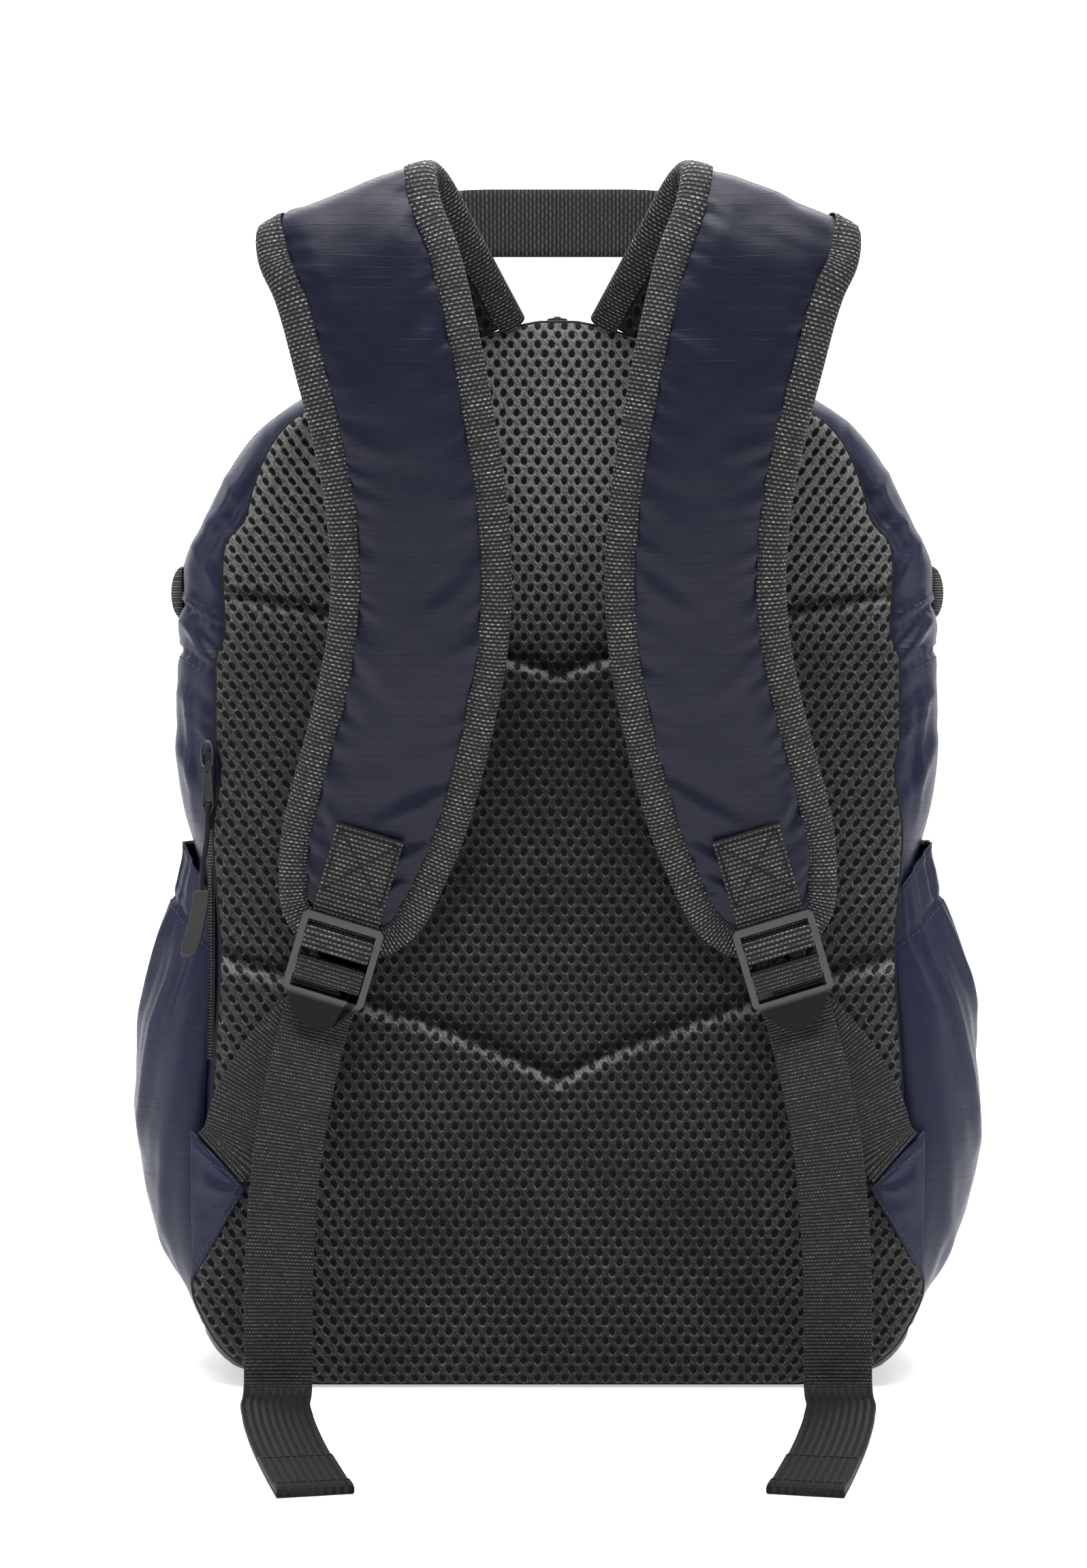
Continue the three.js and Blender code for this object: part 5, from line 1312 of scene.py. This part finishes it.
# %% Zip end tabs
def end_tab(side):
    name = SIDE_NAME[side]
    low, high = (np.array(c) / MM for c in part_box(f"zip_end_tab_{name}"))
    middle, half = (low[2] + high[2]) / 2, (high[2] - low[2]) / 2
    t = np.linspace(-1, 1, 60)[:, None] * math.pi / 2
    reach = high[0] - low[0]
    wall = low[0] if side > 0 else high[0]
    ribs = 1 + 0.04 * np.abs(np.sin(np.linspace(0, 17, 60) * math.pi))[:, None]
    y = np.linspace(low[1] + 0.1, high[1] - 0.1, 14)
    round_edge = 1 - 0.12 * np.abs(np.linspace(-1, 1, 14)) ** 6
    grids = [grid_of(wall + side * stand * np.cos(t) * round_edge, y, middle + tall * np.sin(t))
             for stand, tall in (((reach - 1.3) * ribs, half), (0.1, half * 0.98))]
    x, y, z = np.moveaxis(grids[0], -1, 0)
    cloth = grid_of(x + y, z, 0.0)
    slab(f"zip_tab_{name}", *grids, cloth, GROSGRAIN, "grosgrain", [f"zip_end_tab_{name}"])


end_tab(-1)
end_tab(1)
print("zip tabs made")

# %% Small zip's puller
PULLER_HIGH, PULLER_LOW = (np.array(c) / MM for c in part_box("side_zip_puller")[::-1])
pull_x, pull_y = (PULLER_HIGH[:2] + PULLER_LOW[:2]) / 2
pull_top, pull_length = PULLER_HIGH[2], PULLER_HIGH[2] - PULLER_LOW[2]


def flat_part(name, outline, holes, thick, edge, at, across, up, finish, nodes=()):
    """A flat moulded or stamped part: outline and holes filled, given thickness, edges rounded."""
    shape = bpy.data.curves.new(name, "CURVE")
    shape.dimensions, shape.fill_mode = "2D", "BOTH"
    shape.extrude, shape.offset = (thick / 2 - edge) * MM, -edge * MM
    shape.bevel_depth, shape.bevel_resolution = edge * MM, 2
    for ring in (outline, *holes):
        spline = shape.splines.new("POLY")
        spline.points.add(len(ring) - 1)
        spline.use_cyclic_u = True
        for spot, (u, v) in zip(spline.points, ring):
            spot.co = (u * MM, v * MM, 0, 1)
    maker = in_scene(name + "_outline", shape)
    made = bpy.data.meshes.new_from_object(maker.evaluated_get(bpy.context.evaluated_depsgraph_get()))
    bpy.data.objects.remove(maker)
    flat = np.zeros(len(made.vertices) * 3)
    made.vertices.foreach_get("co", flat)
    flat = flat.reshape(-1, 3) / MM
    across, up = unit(np.array(across, float)), unit(np.array(up, float))
    placed = np.array(at) + flat[:, 0:1] * across + flat[:, 1:2] * up + flat[:, 2:3] * np.cross(across, up)
    faces = [list(f.vertices) for f in made.polygons]
    bpy.data.meshes.remove(made)
    part = piece(name, placed, faces, finish, nodes, flat)
    weld = bmesh.new()
    weld.from_mesh(part.data)
    bmesh.ops.remove_doubles(weld, verts=weld.verts, dist=2e-6)
    bmesh.ops.recalc_face_normals(weld, faces=weld.faces)
    weld.to_mesh(part.data)
    weld.free()
    for facet in part.data.polygons:
        facet.use_smooth = True
    part.modifiers.new("even shading", "WEIGHTED_NORMAL").keep_sharp = False


def ring_of(wide, high, middle=(0, 0), power=2.0, count=28):
    """A ring of points, round for power 2 and squarer above it."""
    unit_ring = circle(1, count)
    bent = np.sign(unit_ring) * np.abs(unit_ring) ** (2 / power)
    return np.array(middle) + bent * [wide / 2, high / 2]


half_top, half_low = 1.7, 2.75
right_half = [(half_low - 2, -pull_length), (half_low - 0.7, 0.6 - pull_length),
              (half_low, 2.2 - pull_length), (half_top, -1.6), (half_top - 0.6, -0.4), (half_top - 1.4, 0)]
outline = right_half + [(-u, v) for u, v in right_half[::-1]]
holes = [ring_of(1.5, 3.6, (0, -3.0)), ring_of(3.1, 6.4, (0, CORD_ROUTE[7][2] - pull_top))]
flat_part("side_puller", outline, holes, 1.2, 0.3, (pull_x, pull_y, pull_top), (0.97, -0.24, 0), (0, 0, 1),
          METAL, ["side_zip_puller"])
print("puller:", round(float(pull_length), 1), "mm")

# %% Small zip's bail
bail = ring_of(4.6, 10.4, power=3.2, count=48)
bail_at = grid_of(pull_x - 0.3 + bail[:, 0], pull_y - 0.4, pull_top + 2.8 + bail[:, 1])
bail_at = np.concatenate([bail_at, bail_at[:1]])
bail_way = unit(np.gradient(bail_at, axis=0))
bail_way[0] = bail_way[-1] = unit(bail_at[1] - bail_at[-2])
bail_out = np.broadcast_to([0.0, -1, 0], bail_at.shape)
bail_points, bail_faces, _ = sweep(circle(0.62, 12)[None], bail_at, unit(np.cross(bail_way, bail_out)),
                                   bail_out, closed_ends=False)
bail_faces = [[v % (48 * 12) for v in face] for face in bail_faces]
piece("side_zip_bail", bail_points[:-1], bail_faces, METAL)
print("bail made")

# %% Zip grip
GRIP_LONG, GRIP_HALF, RIB_PITCH = 28, 3.5, 1.0
GRIP_OUTLINE = [[0, 0.8], [0.03, 1], [0.45, 0.98], [0.8, 1.1], [0.93, 0.95], [1, 0.45]]
grip_x, grip_y, grip_z = CORD_ROUTE[0]
down = np.linspace(0, 1, 170)
grip_at = grid_of(grip_x - 6.2 * down**1.6, grip_y, grip_z - 0.3 - GRIP_LONG * down)
grip_wide = through(GRIP_OUTLINE, 1, down) * GRIP_HALF
ribbed = np.clip(np.minimum(down - 0.05, 0.95 - down) / 0.02, 0, 1)
box_x, box_y = ring_of(2, 2, power=4, count=32).T
inside_rim = np.clip((0.8 - np.abs(box_x)) / 0.1, 0, 1)
groove = 0.3 * (0.5 - 0.5 * np.cos(down * GRIP_LONG / RIB_PITCH * 2 * math.pi)) * ribbed
cut = (0.12 * ribbed + groove)[:, None] * inside_rim[None]
grip_deep = np.minimum(grip_wide / GRIP_HALF, 1)[:, None] * 1.8 - cut
grip_section = np.stack([box_x[None] * grip_wide[:, None], box_y[None] * grip_deep], -1)
grip_points, grip_faces, _ = sweep(grip_section, grip_at, np.broadcast_to([1.0, 0, 0], grip_at.shape),
                                   np.broadcast_to([0, 1.0, 0], grip_at.shape))
grip = piece("zip_pull_grip", grip_points, grip_faces, RUBBER, ["zip_cord_end"])
print("grip made")

# %% [markdown]
# The picture was taken in a white cove: a floor that curves up into a wall, with a wide soft lamp
# above. The floor is lit to white and throws light back up, while the room on the camera's side
# stays dim. That is what gives dark cloth its depth. Faces that look level reflect the dim room,
# those turned up catch the lamp, and those turned down catch the floor. A small lamp close above
# brings out the handle and the folds of the straps, and two weak ones stand for pale side walls.

# %% Floor and light
def pale_cove():
    """A floor that curves up behind the bag, as a strip of points carried sideways."""
    bend = np.radians(np.linspace(0, 90, 25))
    along = np.concatenate([[-1.5], 2.4 + 1.2 * np.sin(bend), [3.6]])
    high = np.concatenate([[0.0], 1.2 - 1.2 * np.cos(bend), [5.0]])
    points = np.array([(x, y, z) for x in (-4.0, 4.0) for y, z in zip(along, high)])
    return points, quads(2, len(along))[:, ::-1]


cove_points, cove_faces = pale_cove()
floor_mesh = bpy.data.meshes.new("floor")
floor_mesh.from_pydata(cove_points.tolist(), [], cove_faces.tolist())
floor_mesh.shade_smooth()
floor = in_scene("floor", floor_mesh)
paper = Finish("white_paper", Roughness=0.9, Specular_IOR_Level=0.05, Emission_Color=(1, 1, 1, 1),
               Emission_Strength=0.5)
paper_place = paper.add("ShaderNodeNewGeometry")
tone = paper.blend(paper.grain(paper_place, 0.4, 2), rgb(243), rgb(247))
floor_mesh.materials.append(paper.wear(tone, 0.9))

world = bpy.data.worlds.new("dim_room")
world.use_nodes = True
room = world.node_tree.nodes["Background"].inputs
room["Color"].default_value, room["Strength"].default_value = (0.98, 0.99, 1, 1), 0.15
bpy.context.scene.world = world
LAMPS = [
    # name, place, aimed at, width, depth, watts, seen by the camera
    ("soft_box_above", (0, 0.15, 1.75), (0, 0.15, 0), 1.8, 1.6, 48, True),
    ("wall_wash", (0, 1.7, 2.9), (0, 3.3, 0.4), 4.2, 0.8, 150, True),
    ("top_light", (0, -0.5, 1.05), (0, -0.09, 0.44), 0.6, 0.3, 7.5, False),
    ("left_wall", (-1.25, -0.3, 0.6), (0, 0, 0.25), 0.7, 1.1, 5, False),
    ("right_wall", (1.25, -0.3, 0.6), (0, 0, 0.25), 0.7, 1.1, 5, False),
]
for name, place, aim, width, depth, watts, seen in LAMPS:
    lamp_data = bpy.data.lights.new(name, "AREA")
    lamp_data.shape = "RECTANGLE"
    lamp_data.size, lamp_data.size_y, lamp_data.energy = width, depth, watts
    lamp = in_scene(name, lamp_data)
    lamp.location = place
    lamp.visible_camera = seen
    way = np.array(aim) - np.array(place)
    turned = math.atan2(way[1], way[0]) - math.pi / 2
    lamp.rotation_euler = (math.atan2(math.hypot(way[0], way[1]), -way[2]), 0, turned)
bpy.context.scene.view_settings.view_transform = "Standard"
print("lamps:", len(LAMPS))

# %% Sizes and finish
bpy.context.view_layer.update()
triangles = sum(len(f.vertices) - 2 for p in PIECES for f in p.data.polygons)
print("pieces:", len(PIECES), "triangles:", triangles)
